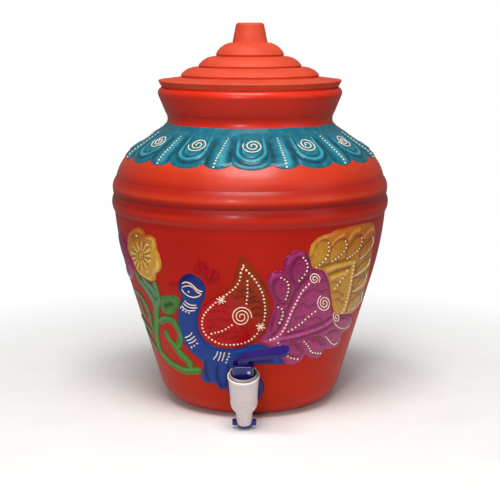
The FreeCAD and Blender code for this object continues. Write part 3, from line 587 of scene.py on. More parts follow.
collar = {
    "pairs": 12,
    "wideShare": 0.57,
    "frontAngle": 3.4,
    "topHeight": 282.0,
    "topWave": 0.8,
    "waves": 3,
    "wobbles": 12,
    "wobbleTone": 0.1,
    "cuspHeight": 252.3,
    "wideLow": 247.3,
    "narrowLow": 247.9,
    "lobeRoundness": 0.62,
    "columnsPerPair": 64,
    "rows": 62,
    "clay": 0.8,
    "soft": 4.5,
    "bandEnd": 9.0,
    "petalsFull": 22.0,
    "eyeTop": 31.0,              # below here the rings of a wide petal turn round
    "ringShares": ((1.0, 0.11, -0.62), (0.8, 0.1, 0.62), (0.62, 0.09, -0.5), (0.5, 0.08, 0.22)),
    "narrowHollow": (0.78, 0.24, -0.6),
    "narrowCrest": (0.2, 0.4, 0.4),
}


def lobeEdge(share):
    wide = collar["wideShare"]
    low = collar["wideLow"] if share < wide else collar["narrowLow"]
    across = share / wide if share < wide else (share - wide) / (1 - wide)
    bow = math.sin(math.pi * across) ** collar["lobeRoundness"]
    return alongAt(collar["cuspHeight"] + (low - collar["cuspHeight"]) * bow)


def petalWork(across, halfWidth, down, isWide):
    # How far a tool raised or sank the clay, at a place across and down one petal
    if isWide:
        below = max(down - collar["eyeTop"], 0)
        reach = math.hypot(across * halfWidth, below) / halfWidth
        worked = sum(h * math.exp(-((reach - at) / wide) ** 2) for at, wide, h in collar["ringShares"])
    else:
        (at, wide, low), (crestAt, crestWide, crest) = collar["narrowHollow"], collar["narrowCrest"]
        worked = low * math.exp(-((abs(across) - at) / wide) ** 2)
        worked += crest * math.exp(-((across - crestAt) / crestWide) ** 2)
    start, full = collar["bandEnd"], collar["petalsFull"]
    return worked * float(soften((down - start) / (full - start)))


def roundAbout(angle, reach, height=0.0):
    # A place for the noise that closes on itself after a turn
    return Vector((math.sin(angle) * reach, math.cos(angle) * reach, height))


def makeCollar():
    pairs, per, wide, rows = (collar[key] for key in ("pairs", "columnsPerPair", "wideShare", "rows"))
    first = math.radians(collar["frontAngle"]) - math.pi / pairs * wide
    corners, relief = [], []
    for column in range(pairs * per):
        share = (column % per) / per
        angle = first + 2 * math.pi * column / (pairs * per)
        wave = noise.noise(roundAbout(angle, collar["waves"])) * collar["topWave"]
        top, edge = alongAt(collar["topHeight"] + wave), lobeEdge(share)
        isWide = share < wide
        across = 2 * share / wide - 1 if isWide else 2 * (share - wide) / (1 - wide) - 1
        turnShare = (wide if isWide else 1 - wide) / pairs * math.pi
        bank = skin["bank"] * mm
        for row in range(rows + 1):
            along = top + (edge - top) * row / rows
            along = {1: top - bank, rows - 1: edge + bank}.get(row, along)
            halfWidth = turnShare * radiusAt(along) / mm
            worked = petalWork(across, halfWidth, (top - along) / mm, isWide)
            swell = float(soften(min(top - along, along - edge) / mm / collar["soft"]))
            wobble = noise.noise(roundAbout(angle, collar["wobbles"], along / mm / skin["handSize"]))
            height = skin["paint"] + max(collar["clay"] + worked + wobble * skin["handmade"], 0) * swell
            corners.append(wallPoint(angle, along, -skin["sink"] if row in (0, rows) else height))
            # painted shade in the worked hollows and painted highlight on the crests of the teal
            shadedTone = 0.5 + worked * swell / skin["contrast"] + wobble * collar["wobbleTone"]
            relief.append(min(max(shadedTone, 0), 1))
    total = pairs * per
    faces = []
    for column in range(total):
        for row in range(rows):
            a, b = column * (rows + 1) + row, (column + 1) % total * (rows + 1) + row
            faces.append([a, a + 1, b + 1, b])
    painted.append(newPiece("petalCollar", corners, faces, "tealPaint", {"relief": relief}))


# The pot's own paint

redPart = {"depth": 3.0, "foot": 1.0, "lip": 310.0}     # how deep in the wall red ends, and above what


def paintPot():
    # Red paint outside and under the lid, bare clay inside
    pot = nodes["pot_body"]
    pot.data.materials.clear()
    for name in ("redPaint", "bareClay"):
        pot.data.materials.append(materials[name])
    depth, foot, lip = (redPart[key] * mm for key in ("depth", "foot", "lip"))
    for face in pot.data.polygons:
        place = face.center
        outside = math.hypot(place.x, place.y) > np.interp(place.z, wallHeights, wallRadii) - depth
        face.material_index = 0 if outside or place.z < foot or place.z > lip else 1


# Figures on the front of the pot

purpleFeather = {
    "fade": ((310, 300), (283, 262)),
    "outline": [(258.5, 341.5), (266, 331), (270, 318), (274, 304.5), (269, 290.5), (266.5, 281),
        (269, 275), (275, 271), (281, 271), (283, 265), (284.5, 259.5), (290.5, 253), (298.5, 250),
        (306, 252.5), (310.5, 259.5), (312, 267), (317, 269), (323, 270), (327.5, 277), (329.5, 285.5),
        (329.5, 291.5), (331, 298), (330.5, 304.5), (333, 312), (336.5, 314.5), (347.5, 314.5),
        (351.5, 317), (350.5, 324.5), (346.5, 330), (341, 333.5), (340.5, 340.5), (336.5, 346),
        (330, 349), (324.5, 349), (322.5, 353), (317, 358), (309.5, 358), (305, 355), (301.5, 360),
        (295.5, 364), (288.5, 364.5), (284.5, 362.5), (280.5, 356), (275, 350), (269, 346),
        (263.5, 343.5)],
    "rings": [
        [(280.5, 277.5), (275, 280), (273, 287.5), (275, 295.5), (280, 301.5), (284.5, 303),
         (286.5, 298.5), (289, 290.5), (288.5, 283.5), (285, 278.5)],
        [(301, 256), (295.5, 260), (291.5, 266), (291, 274), (293.5, 281), (296.5, 283), (300.5, 279.5),
         (306, 273), (308.5, 266), (307, 260)],
        [(278, 342), (286, 340.5), (295.5, 342), (301.5, 346), (301, 351.5), (297.5, 356), (290.5, 355),
         (283.5, 349.5)],
        [(304, 341), (309.5, 337.5), (317, 336.5), (323, 340.5), (323.5, 347.5), (320, 353),
         (313, 352.5), (307.5, 346.5)],
        [(325.5, 335.5), (330, 330.5), (336, 330), (339.5, 335.5), (338, 341.5), (333.5, 344),
         (329, 340.5)],
        [(334.5, 323), (338.5, 318), (343.5, 316.5), (349, 318), (349.5, 323.5), (345.5, 328),
         (339.5, 327)],
    ],
    "hollows": [
        [(313, 273), (302.5, 281), (295.5, 290.5), (290.5, 301.5), (286, 312), (282, 322), (276, 331),
         (268, 338.5)],
        [(277.5, 305.5), (274.5, 312), (272, 320), (271, 329)],
        [(282, 310), (281, 317), (278, 324)],
        [(285, 334), (298.5, 330.5), (311.5, 326), (323, 321), (331, 315.5)],
        [(282, 340.5), (296.5, 338), (310.5, 333.5), (323, 328.5), (333, 322)],
        [(288.5, 343.5), (295.5, 344.5), (299.5, 348)],
        [(311.5, 339), (317.5, 340), (321.5, 343.5)],
    ],
    "ripples": [
        [(306.5, 290.5), (298.5, 300.5), (294.5, 310), (290.5, 320), (286, 330)],
        [(317.5, 281.5), (323, 279), (328, 280.5)],
        [(308.5, 290.5), (314, 288.5), (320, 290.5), (328, 288)],
        [(298.5, 304.5), (303.5, 302.5), (308.5, 306.5), (314, 303), (318.5, 306)],
        [(295.5, 318), (302.5, 316), (308.5, 319.5), (316, 316.5), (323, 319.5), (330, 316)],
        [(290.5, 328), (298.5, 324.5), (306.5, 326.5), (315, 323), (323, 324.5)],
    ],
    "ridges": [
        [(308.5, 284), (302.5, 290.5), (297.5, 298.5), (293, 306.5), (289.5, 315), (286, 323),
         (282, 329.5), (276, 336), (270, 339.5)],
        [(259.5, 342), (274, 339.5), (288.5, 336.5), (302.5, 333), (315, 329), (325, 324), (332, 317.5)],
        [(270, 281), (273, 275.5), (280, 273.5)],
        [(288, 263), (291.5, 256.5), (298.5, 253.5), (304.5, 255)],
    ],
}
goldFeather = {
    "fade": ((345, 262), (352, 236)),
    "outline": [(335.5, 314.5), (332.5, 308), (331, 298), (329.5, 285.5), (326, 275.5), (317.5, 269),
        (313, 268), (310, 261), (309, 252.5), (311.5, 244.5), (317, 238.5), (323, 235), (330, 233),
        (335.5, 230), (342.5, 228.5), (348, 227), (352.5, 225.5), (360.5, 224), (368, 222), (373, 223),
        (375, 228), (375, 236.5), (373, 245.5), (372, 253.5), (370.5, 263), (368.5, 272), (367, 281),
        (363.5, 290.5), (361, 299.5), (357.5, 306.5), (352, 312.5), (344.5, 314.5)],
    "rings": [
        [(314, 268), (311.5, 260), (313, 250.5), (317.5, 243), (323.5, 239.5), (328, 242),
         (329.5, 248.5), (327, 255.5), (321.5, 263)],
        [(328.5, 262), (330, 251.5), (334, 244), (340.5, 239), (345.5, 239.5), (347, 245.5),
         (344, 251.5), (336.5, 258.5)],
        [(346.5, 258.5), (347, 250.5), (351, 243.5), (356, 236.5), (361, 235.5), (362, 242), (358, 249),
         (352.5, 255)],
        [(359, 256.5), (361, 248.5), (366, 242.5), (370.5, 237.5), (374, 235.5), (373, 243),
         (369, 249.5), (364.5, 255)],
        [(354.5, 276.5), (357, 268), (362, 261.5), (368.5, 257), (370.5, 261), (367.5, 268.5),
         (361, 274)],
        [(352.5, 292), (356, 283.5), (360.5, 277), (366, 275.5), (366.5, 281), (363, 287.5),
         (357.5, 291)],
        [(346.5, 309.5), (348.5, 302.5), (353.5, 296.5), (359, 292.5), (360, 298.5), (356.5, 305),
         (351.5, 309.5)],
    ],
    "hollows": [
        [(317.5, 268), (327, 264.5), (337, 261.5), (350.5, 258)],
        [(328, 274.5), (337, 270.5), (349, 266.5)],
        [(356, 264), (354, 275), (352, 287.5), (349.5, 298.5), (345.5, 310)],
    ],
    "ripples": [
        [(330, 283.5), (335, 281), (340, 285.5)],
        [(331.5, 292.5), (336.5, 290.5), (342.5, 294.5)],
        [(332, 300.5), (337, 298.5), (342.5, 302)],
    ],
    "ridges": [
        [(311.5, 253.5), (314, 245.5), (320, 239.5), (325.5, 237)],
        [(332, 244.5), (336, 239), (343.5, 234.5)],
        [(349, 238.5), (353.5, 232), (359.5, 229.5)],
        [(363, 237), (367.5, 231), (372.5, 228.5)],
        [(327, 270), (337, 266), (350.5, 262.5)],
        [(329, 278.5), (337, 275), (347.5, 271)],
        [(352.5, 263), (351, 273), (349, 285.5), (346.5, 297.5), (343.5, 308), (342, 312.5)],
    ],
}
peacock = {
    "body": [(190, 273.5), (197, 276), (203, 282), (206, 290), (204.5, 298), (201, 307), (198.5, 316),
        (198.5, 327), (202, 336), (208, 342.5), (217, 347), (228, 348.5), (240, 347.5), (250, 344.5),
        (260, 344), (268, 346.5), (275, 351.5), (281, 358.5), (285, 363.5), (272, 364.5), (256, 364),
        (240, 364.5), (239, 371), (235, 378), (230, 385), (224, 389.5), (219, 388), (214.5, 383),
        (206, 382.5), (201, 378.5), (202, 371), (202.5, 362), (194, 354.5), (186, 346), (181, 336),
        (178, 324), (178, 312), (180.5, 301), (181, 296), (178, 289), (179, 281), (183.5, 275.5)],
    "bodyFolds": [[(206, 362), (207, 372), (210, 380)], [(218, 366), (218, 376), (222, 386)],
                  [(229, 366), (228, 376), (226, 385)], [(243, 358), (256, 360.5), (270, 360)]],
    # the blue darkens along this line towards the top of the head: painted shade
    "bodyShadeFade": ((196, 296), (190, 272)),
    "bodyRidges": [[(236, 353), (252, 350.5), (266, 353.5), (277, 359.5)]],
    "wing": [(241, 255.5), (248, 261), (257, 271), (264.5, 283), (269, 296), (270.5, 309), (269, 322),
        (264, 333), (255, 341), (243, 346.5), (230, 348), (217, 346), (206, 339), (199.5, 329),
        (199, 317), (203, 306), (211, 298.5), (222, 292), (231, 284.5), (235.5, 272)],
    "wingFade": ((228, 322), (254, 300)),
    "crest": [(199, 259), (203.5, 260), (208, 264.5), (214.5, 268), (220, 274), (219.5, 280.5),
        (213.5, 284), (207.5, 284.5), (206, 280.5), (201.5, 276), (193.5, 271.5), (195.5, 265)],
    "crestLines": [
        [(206, 281.5), (200.5, 270.5), (199, 263)],
        [(207, 282), (206, 273), (206, 266)],
        [(208, 282.5), (212.5, 276), (214, 270.5)],
        [(209, 283), (214.5, 279.5), (218.5, 276)],
    ],
    "beak": [(179, 281), (174, 282), (168, 284), (171.5, 287.5), (176, 288.5), (179, 289)],
}
wingWork = {
    "ridges": [
        [(228, 299), (236, 290.5), (245.5, 280), (255.5, 289.5), (264, 301.5), (268, 312)],
        [(242, 261), (246.5, 269), (258.5, 283.5), (266, 297.5), (268.5, 310)],
    ],
    "ripples": [
        [(240.5, 291.5), (246.5, 288), (252.5, 291.5)],
        [(236, 297.5), (242.5, 295.5), (248.5, 298), (255.5, 296)],
        [(248.5, 301.5), (255.5, 300.5), (263, 303)],
        [(252.5, 309), (258.5, 307), (264.5, 310)],
        [(254.5, 315), (259.5, 314.5), (264, 316.5)],
    ],
    "folds": [
        [(209, 319.5), (217, 318), (224.5, 319.5), (232.5, 318)],
        [(208, 327), (215.5, 325), (223.5, 327.5), (231, 325.5)],
        [(211.5, 338), (220, 335.5), (229, 338.5), (238, 336)],
        [(213, 311.5), (219, 310), (226, 312)],
        [(206, 333), (214, 331), (222, 333.5), (231, 331.5), (239, 332.5)],
        [(218, 305), (223.5, 303.5), (229, 306)],
    ],
}
flower = {
    "centre": (141.5, 255.5),
    "heart": 4.2,
    "heartPoints": 10,
    "rayShape": ((5.6, 9, 14), 0.72),
    "rays": 26,
    "grid": 0.6,
    "petals": [
        [(129.5, 240), (132, 232.5), (138, 229.5), (143, 233)],
        [(147, 237.5), (152.5, 239), (154.5, 245.5)],
        [(158, 262), (158.5, 268), (155, 272)],
        [(139.5, 272), (145.5, 276.5), (151, 279)],
    ],
    "fade": ((140, 252), (137, 236)),
    "budFade": ((128, 262), (122, 240)),
    "outline": [(127.5, 242), (128.5, 234), (133, 229), (138.5, 227.5), (144, 230.5), (145.5, 235),
        (149.5, 234.5), (154.5, 237.5), (156.5, 243), (157, 248.5), (159.5, 255), (161.5, 263),
        (160.5, 270.5), (156.5, 274), (155.5, 280.5), (150.5, 281.5), (145, 278.5), (139.5, 274),
        (135, 266), (132, 258.5), (128.5, 250.5)],
    "bud": [(118.5, 232), (123, 235), (126, 242), (127.5, 248.5), (130, 257.5), (133, 265),
        (134.5, 271.5), (133, 277.5), (131, 279), (127.5, 270.5), (123, 259.5), (119.5, 247.5)],
    "budLines": [
        [(121, 236.5), (123, 246.5), (126.5, 257.5), (130, 269.5)],
        [(123.5, 241), (126.5, 252), (129.5, 261.5)],
        [(120.5, 244), (124, 257.5), (128.5, 269.5)],
    ],
}
vine = {
    "widths": (8.6, 8.0, 8.2, 7.0, 6.0, 5.0, 5.6, 6.2, 8.0, 7.6, 9.2),
    "height": 1.0,
    # along this line the green turns lighter and greyer towards the left: painted highlight
    "fade": ((166, 320), (143, 300)),
    "stems": [
        [(157, 298), (156.5, 310.5), (157, 321.5), (157, 332.5), (158.5, 342.5), (161.5, 351),
         (168.5, 360), (177, 366.5), (187, 370.5), (201.5, 370)],
        [(135, 270.5), (139.5, 279.5), (146, 288), (151.5, 297), (155.5, 306), (156.5, 313.5)],
        [(142, 277), (147.5, 284), (153.5, 290.5), (156.5, 298)],
        [(153.5, 280.5), (156, 288), (158.5, 297), (159, 306)],
        [(135, 289.5), (140.5, 295), (145, 302.5), (149.5, 312.5), (151.5, 321.5), (154.5, 332.5)],
        [(139.5, 298), (142, 306), (145, 313.5), (147.5, 317)],
        [(141, 315), (146, 322.5), (153.5, 332.5)],
        [(144, 325.5), (149.5, 334.5), (155, 344.5), (159, 351)],
        [(159.5, 322.5), (165, 319), (171.5, 320), (177, 327), (180.5, 334.5), (180, 342.5), (176, 347)],
        [(165, 329.5), (168.5, 337), (172, 342.5), (176.5, 346.5)],
        [(173, 341.5), (178, 350), (183.5, 356.5), (189, 362), (191, 369)],
    ],
    "leaf": [(159.5, 299), (163, 295.5), (169.5, 295), (176, 296), (180, 300), (179.5, 305),
        (177, 310.5), (174, 314), (169.5, 315), (165, 313.5), (161, 309)],
    "leafLine": [
        [(166, 305), (169.5, 304), (172.5, 303.5)],
    ],
}
stemShape = {
    "spacing": 1.2,
    "sections": 11,
    "roundness": 0.8,
    "endShare": 0.6,         # of the width, over which an end closes
    "thinnest": 0.02,
    "crease": 0.35,
    "creaseWidth": 0.9,
    "creasePlace": 0.14,
    # tones: lowest paint, painted highlight along the roll and painted shade in the crease
    "tones": (0.25, 0.45, 0.35),
}


def makeStem(name, pixels, width):
    # A flat roll of clay pressed on the wall, thinner at its ends, creased along its middle
    plan = Plan(pixels)
    run = smoothLine(plan.flatten(pixels), stemShape["spacing"])
    last, sections, (low, crest, hollow) = len(run) - 1, stemShape["sections"], stemShape["tones"]
    corners, relief = [], []
    for count, spot in enumerate(run):
        ahead = run[min(count + 1, last)] - run[max(count - 1, 0)]
        across = np.array([ahead[1], -ahead[0]]) / np.hypot(*ahead)
        fromEnd = min(count, last - count) * stemShape["spacing"] / (stemShape["endShare"] * width)
        taper = math.sqrt(max(1 - (1 - min(fromEnd, 1)) ** 2, stemShape["thinnest"]))
        for section in range(sections):
            bow = math.pi * section / (sections - 1)
            side = math.cos(bow) * width / 2 * taper
            offCrease = side - width * stemShape["creasePlace"]
            crease = math.exp(-(offCrease / stemShape["creaseWidth"]) ** 2)
            roll = math.sin(bow) ** stemShape["roundness"] * vine["height"] - stemShape["crease"] * crease
            lift = skin["paint"] + roll * taper if 0 < section < sections - 1 else -skin["sink"]
            corners.append(plan.raised(spot + across * side, lift))
            # painted highlight along the top of the roll and painted shade in its crease
            relief.append(min(max(low + crest * math.sin(bow) - hollow * crease, 0), 1))
    faces = []
    for count in range(last):
        for section in range(sections - 1):
            a = count * sections + section
            faces.append([a, a + 1, a + sections + 1, a + sections])
    addPainted(name, corners, faces, "greenPaint", relief, vine["fade"])


def makeFlowers():
    centre, (reaches, squeeze) = np.array(flower["centre"]), flower["rayShape"]
    rays = []
    for count in range(flower["rays"]):
        turned = 2 * math.pi * count / flower["rays"]
        way = np.array([math.cos(turned) * squeeze, math.sin(turned)])
        rays.append([tuple(centre + way * reach) for reach in reaches])
    ring = [tuple(centre + flower["heart"] * np.array([math.cos(t) * squeeze, math.sin(t)]))
            for t in np.linspace(0, 2 * math.pi, flower["heartPoints"], endpoint=False)]
    work = {"raySlots": rays[1::2] + [ring + ring[:1]], "rays": rays[::2], "ridges": flower["petals"]}
    paintedRelief("goldFlower", flower["outline"], "flowerPaint", work, fade=flower["fade"],
                  step=flower["grid"])
    work = {"ripples": flower["budLines"]}
    paintedRelief("purpleBud", flower["bud"], "purplePaint", work, fade=flower["budFade"])
    for count, (line, width) in enumerate(zip(vine["stems"], vine["widths"])):
        makeStem(f"vineStem_{count}", line, width)
    work = {"hollows": vine["leafLine"]}
    paintedRelief("roundLeaf", vine["leaf"], "greenPaint", work, fade=vine["fade"], lift=0.15)


def makeFeathers():
    feathers = (("goldFeather", goldFeather, "goldPaint", 0.0),
                ("purpleFeather", purpleFeather, "purplePaint", 0.12))
    for name, feather, paint, lift in feathers:
        work = {key: feather[key] for key in ("rings", "hollows", "ripples", "ridges")}
        paintedRelief(name, feather["outline"], paint, work, fade=feather["fade"], lift=lift)


def makePeacock():
    work = {"ripples": peacock["crestLines"]}
    paintedRelief("peacockCrest", peacock["crest"], "crimsonPaint", work, clay=0.5)
    paintedRelief("peacockBeak", peacock["beak"], "crimsonPaint", clay=0.4)
    work = {"hollows": peacock["bodyFolds"], "ridges": peacock["bodyRidges"]}
    paintedRelief("peacockBody", peacock["body"], "bluePaint", work, clay=1.3,
                  fade=peacock["bodyShadeFade"], lift=0.1)
    paintedRelief("peacockWing", peacock["wing"], "wingPaint", wingWork, clay=1.0,
                  fade=peacock["wingFade"], lift=0.25)


# Cream dots and lines of thick paint on top of the relief

drop = {
    "radius": 1.05,
    "height": 0.62,
    "gap": 3.8,
    "uneven": 0.22,
    "single": 0.95,      # size of a dot that stands alone
    "sides": 9,
    "rings": 6,
    "cut": -0.35,
    "runSpacing": 0.4,
}
paintLine = {"width": 1.25, "endWidth": 0.7, "sink": 0.12, "spacing": 0.8}
dotRows = {
    "wing": [
        [(243.5, 265), (241, 272), (240, 279), (236, 286), (230, 291.5), (224, 296)],
        [(216, 302), (210.5, 307), (205.5, 313), (203, 319), (203, 326), (205.5, 333), (211, 338),
         (219, 342.5), (227, 344), (235, 344), (243, 342.5), (251, 339), (257, 333)],
        [(264, 319.5), (265, 311), (264.5, 303.5), (263, 295), (260, 287.5), (254, 278), (247.5, 271),
         (243.5, 267)],
        [(246.5, 303), (247.5, 293), (247.5, 280.5)],
        [(232, 324.5), (223, 330), (212, 333)],
    ],
    "feather": [
        [(281, 277.5), (286.5, 281), (288.3, 286), (287.5, 293), (285.5, 298.7)],
        [(303, 257.5), (306.5, 262.5), (307, 269), (303.5, 275.5), (299, 280.5)],
        [(278, 307), (282, 309), (282.6, 313.5), (281.7, 318), (279.5, 322.5)],
        [(308, 283.5), (301, 291.5), (295.5, 302), (290.5, 312), (286.5, 322), (280.5, 333),
         (274, 337.5), (270, 339)],
        [(314.5, 311), (308, 316), (301.5, 322), (294, 327.5), (288, 331)],
        [(278, 342.5), (281, 348), (285, 354), (291, 357.5), (297, 358.5)],
        [(304, 341.5), (308, 346.5), (311.5, 352), (320, 353)],
    ],
    "gold": [
        [(328, 243), (328.5, 251), (325.5, 258.5), (320, 264), (316, 267.5)],
        [(345, 241), (346.3, 246), (343, 252), (338, 257), (332, 261)],
        [(361, 238), (360, 245.5), (355.5, 252), (347, 258.5)],
        [(346, 270), (340.5, 280), (334, 288)],
        [(353, 262), (351.5, 272), (349, 285), (346.5, 297), (343, 308), (341, 312)],
    ],
}
drawn = {
    "eye": [
        [(183, 283), (186, 281.5), (190, 282.3), (194, 285), (197, 288), (200, 290.3), (203, 291)],
        [(183, 286.5), (187, 285.2), (191, 285.4), (195, 288), (198, 291.5), (201.5, 293.3),
         (199, 295.6), (194, 296.5), (189, 295), (185, 292), (182.6, 288)],
    ],
    "neck": [
        [(185.5, 299.5), (188, 302.5), (192, 304.3), (197, 304.6)],
        [(184, 302), (187, 305), (192, 307), (198, 307)],
        [(182.5, 304.5), (185.5, 308), (190, 310), (196, 309.6)],
        [(193, 331.5), (191, 334.5), (186, 337)],
        [(195.7, 335.3), (192, 338.3), (187.5, 340)],
        [(197, 338.5), (194, 341), (189.5, 342.7)],
        [(218.3, 350.5), (217, 354.5), (214, 358.5)],
        [(221.5, 351), (220.5, 355.5), (218.5, 360)],
        [(225, 351.5), (224, 356), (222.5, 360.3)],
    ],
    "featherEnds": [[(325, 336), (328, 339.5), (331, 343), (334, 344), (336.8, 342)],
                    [(333.5, 322), (336, 325.5), (340, 327.8), (345, 327.6), (349, 324.5)]],
    "goldEdges": [[(372, 236), (372, 243), (369, 249), (363, 256), (359, 258.5)],
                  [(369.5, 258), (366, 266), (359, 272), (353, 276.5)],
                  [(366.5, 274), (363, 282), (357, 288), (352, 291.5)],
                  [(361.5, 292), (360, 300), (355, 307), (347, 310.5)]],
}
singleDots = {
    "peacock": [(181.7, 307), (184, 309.3), (186.7, 310.8), (190, 312), (198, 342.7), (195.3, 344.8),
        (192.6, 346.4), (229.5, 353), (229, 355.8), (227.6, 358.6), (226.5, 361.5), (189.5, 291)],
    "flower": [(137.5, 235.5), (148.5, 244.5), (151, 260), (148.3, 271.5)],
}
spirals = {      # centre, reach across and down, turns, where it starts
    "wing": [((241.5, 316), 10.2, 1.0, 2.6, 150)],
    "feather": [((314, 278.5), 5.8, 0.95, 2.0, 40), ((323.5, 302.5), 8.4, 0.82, 2.4, 100),
                ((336, 317), 5.0, 0.75, 1.5, 60)],
}
spiralShape = {"pointsPerTurn": 14, "heart": 0.14}
star = {"reach": 5.0, "turns": (18, 62, 118, 150), "shorter": 0.2}
wingStars = [(221.5, 299.5), (260.5, 326)]


def makeDropShape():
    # One drop of paint, modelled once: a sphere cut below its middle and pressed flat
    bpy.ops.object.select_all(action="DESELECT")
    bpy.ops.mesh.primitive_uv_sphere_add(segments=drop["sides"], ring_count=drop["rings"], radius=1.0)
    bpy.ops.object.mode_set(mode="EDIT")
    bpy.ops.mesh.select_all(action="SELECT")
    bpy.ops.mesh.bisect(plane_co=(0, 0, drop["cut"]), plane_no=(0, 0, 1), clear_inner=True, use_fill=True)
    bpy.ops.object.mode_set(mode="OBJECT")
    made = bpy.context.object
    corners = [v.co.copy() for v in made.data.vertices]
    faces = [list(p.vertices) for p in made.data.polygons]
    bpy.data.objects.remove(made)
    return corners, faces


dropCorners, dropFaces = makeDropShape()


def addDrop(corners, faces, place, up, size=1.0):
    side = up.orthogonal().normalized()
    other = up.cross(side)
    start = len(corners)
    radius, height = drop["radius"] * size * mm, drop["height"] * mm
    for c in dropCorners:
        corners.append(place + (side * c.x + other * c.y) * radius + up * c.z * height)
    faces += [[start + index for index in face] for face in dropFaces]


def paintLines(name, runs, width=paintLine["width"]):
    # Lines of thick paint: curves with a round section, made a mesh, half sunk in the relief
    data = bpy.data.curves.new(name, "CURVE")
    data.dimensions = "3D"
    data.bevel_depth = width / 2 * mm
    data.bevel_resolution = 1
    data.use_fill_caps = True
    for run in runs:
        spline = data.splines.new("POLY")
        spline.points.add(len(run) - 1)
        for point, place in zip(spline.points, run):
            point.co = (*place, 1)
        spline.points[0].radius = spline.points[-1].radius = paintLine["endWidth"]
    piece = bpy.data.objects.new(name, data)
    bpy.context.scene.collection.objects.link(piece)
    bpy.ops.object.select_all(action="DESELECT")
    piece.select_set(True)
    bpy.context.view_layer.objects.active = piece
    bpy.ops.object.convert(target="MESH")
    piece = bpy.context.object
    piece.data.materials.clear()
    piece.data.materials.append(materials["linePaint"])
    piece.data.polygons.foreach_set("use_smooth", [True] * len(piece.data.polygons))
    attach(piece, "pot")


def topOf(tree, place, normal):
    # The painted relief above a place of the wall
    hit = tree.ray_cast(place + normal * reliefRoom * mm, -normal)[0]
    return hit if hit is not None else place


def runOnTop(tree, pixels):
    plan = Plan(pixels)
    spots = smoothLine(plan.flatten(pixels), paintLine["spacing"])
    normals = [plan.normal(spot) for spot in spots]
    sink = paintLine["sink"] * mm
    return [topOf(tree, plan.raised(s, 0), n) - n * sink for s, n in zip(spots, normals)]


def paintDots(name, tree, rows=(), singles=()):
    corners, faces = [], []
    for row in rows:
        plan = Plan(row)
        run = smoothLine(plan.flatten(row), drop["runSpacing"])
        lengths = np.concatenate([[0], np.cumsum(np.hypot(*np.diff(run, axis=0).T))])
        count = max(round(lengths[-1] / drop["gap"]), 1)
        for way in np.linspace(0, lengths[-1], count + 1):
            spot = np.array([np.interp(way, lengths, run[:, axis]) for axis in (0, 1)])
            size = 1 + drop["uneven"] * noise.noise(Vector((spot[0], spot[1], way)))
            normal = plan.normal(spot)
            addDrop(corners, faces, topOf(tree, plan.raised(spot, 0), normal), normal, size)
    for pixel in singles:
        spot = pixelOnWall(pixel)
        normal = wallNormal(*spot)
        addDrop(corners, faces, topOf(tree, wallPoint(*spot), normal), normal, drop["single"])
    newPiece(name, corners, faces, "linePaint")


def spiralPixels(centre, reach, squeeze, turns, start):
    steps, heart = round(turns * spiralShape["pointsPerTurn"]), spiralShape["heart"]
    made = []
    for count in range(steps + 1):
        share = count / steps
        angle = math.radians(start) + turns * 2 * math.pi * share
        out = reach * (heart + (1 - heart) * share)
        made.append((centre[0] + out * math.cos(angle) * squeeze, centre[1] + out * math.sin(angle)))
    return made


def starPixels(centre):
    middle, made = np.array(centre), []
    for count, angle in enumerate(star["turns"]):
        way = np.array([math.cos(math.radians(angle)), math.sin(math.radians(angle))]) * star["reach"]
        way *= 1 - star["shorter"] * (count % 2)
        made.append([tuple(middle - way), centre, tuple(middle + way)])
    return made


collarBeads = {
    "spiralDown": 24.4,
    "spiralReach": 9.6,
    "spiralTurns": 2.15,
    "spiralStart": 215,
    "spiralWidth": 1.15,
    "spiralAside": 0.8,         # degrees from the middle of its petal
    "spiralUneven": (20, 7),    # degrees, and how fast it changes from petal to petal
    "spiralSteps": 41,
    "spiralHeart": 0.13,
    "rowFrom": 14.5,
    "rowTo": 52.5,
    "rowDots": 12,
    "rowSizes": (0.72, 1.05),
    "rowLean": 5.8,             # of the row left of the front, which the brush drew aslant
    "leaningRow": -1,
    "otherLean": (1.2, 5),
}


def makeCollarBeads(tree):
    pair, values = 2 * math.pi / collar["pairs"], collarBeads
    corners, faces, runs = [], [], []
    (small, large), (uneven, pace), (swing, swingPace) = (
        values[key] for key in ("rowSizes", "spiralUneven", "otherLean"))
    top, heart = alongAt(collar["topHeight"]), values["spiralHeart"]
    for count in range(collar["pairs"]):
        angle = math.radians(collar["frontAngle"] + values["spiralAside"]) + count * pair
        along = top - values["spiralDown"] * mm
        begun = math.radians(values["spiralStart"] + uneven * math.sin(pace * count))
        run = []
        for share in np.linspace(0, 1, values["spiralSteps"]):
            turned = begun - values["spiralTurns"] * 2 * math.pi * share
            reach = values["spiralReach"] * (heart + (1 - heart) * share) * mm
            spot = (angle + reach * math.cos(turned) / radiusAt(along), along + reach * math.sin(turned))
            normal = wallNormal(*spot)
            run.append(topOf(tree, wallPoint(*spot), normal) - normal * paintLine["sink"] * mm)
        runs.append(run)
        middle = math.radians(collar["frontAngle"]) + (count + 0.5) * pair
        isLeaning = count == collar["pairs"] + values["leaningRow"]
        for dot in range(values["rowDots"]):
            share = dot / (values["rowDots"] - 1)
            along = top - (values["rowFrom"] + (values["rowTo"] - values["rowFrom"]) * share) * mm
            slant = values["rowLean"] if isLeaning else swing * math.sin(swingPace * count)
            lean = (0.5 - share) * slant * mm
            spot = (middle + lean / radiusAt(along), along)
            size = small + (large - small) * share
            normal = wallNormal(*spot)
            addDrop(corners, faces, topOf(tree, wallPoint(*spot), normal), normal, size)
    newPiece("collarDots", corners, faces, "linePaint")
    paintLines("collarSpirals", runs, values["spiralWidth"])


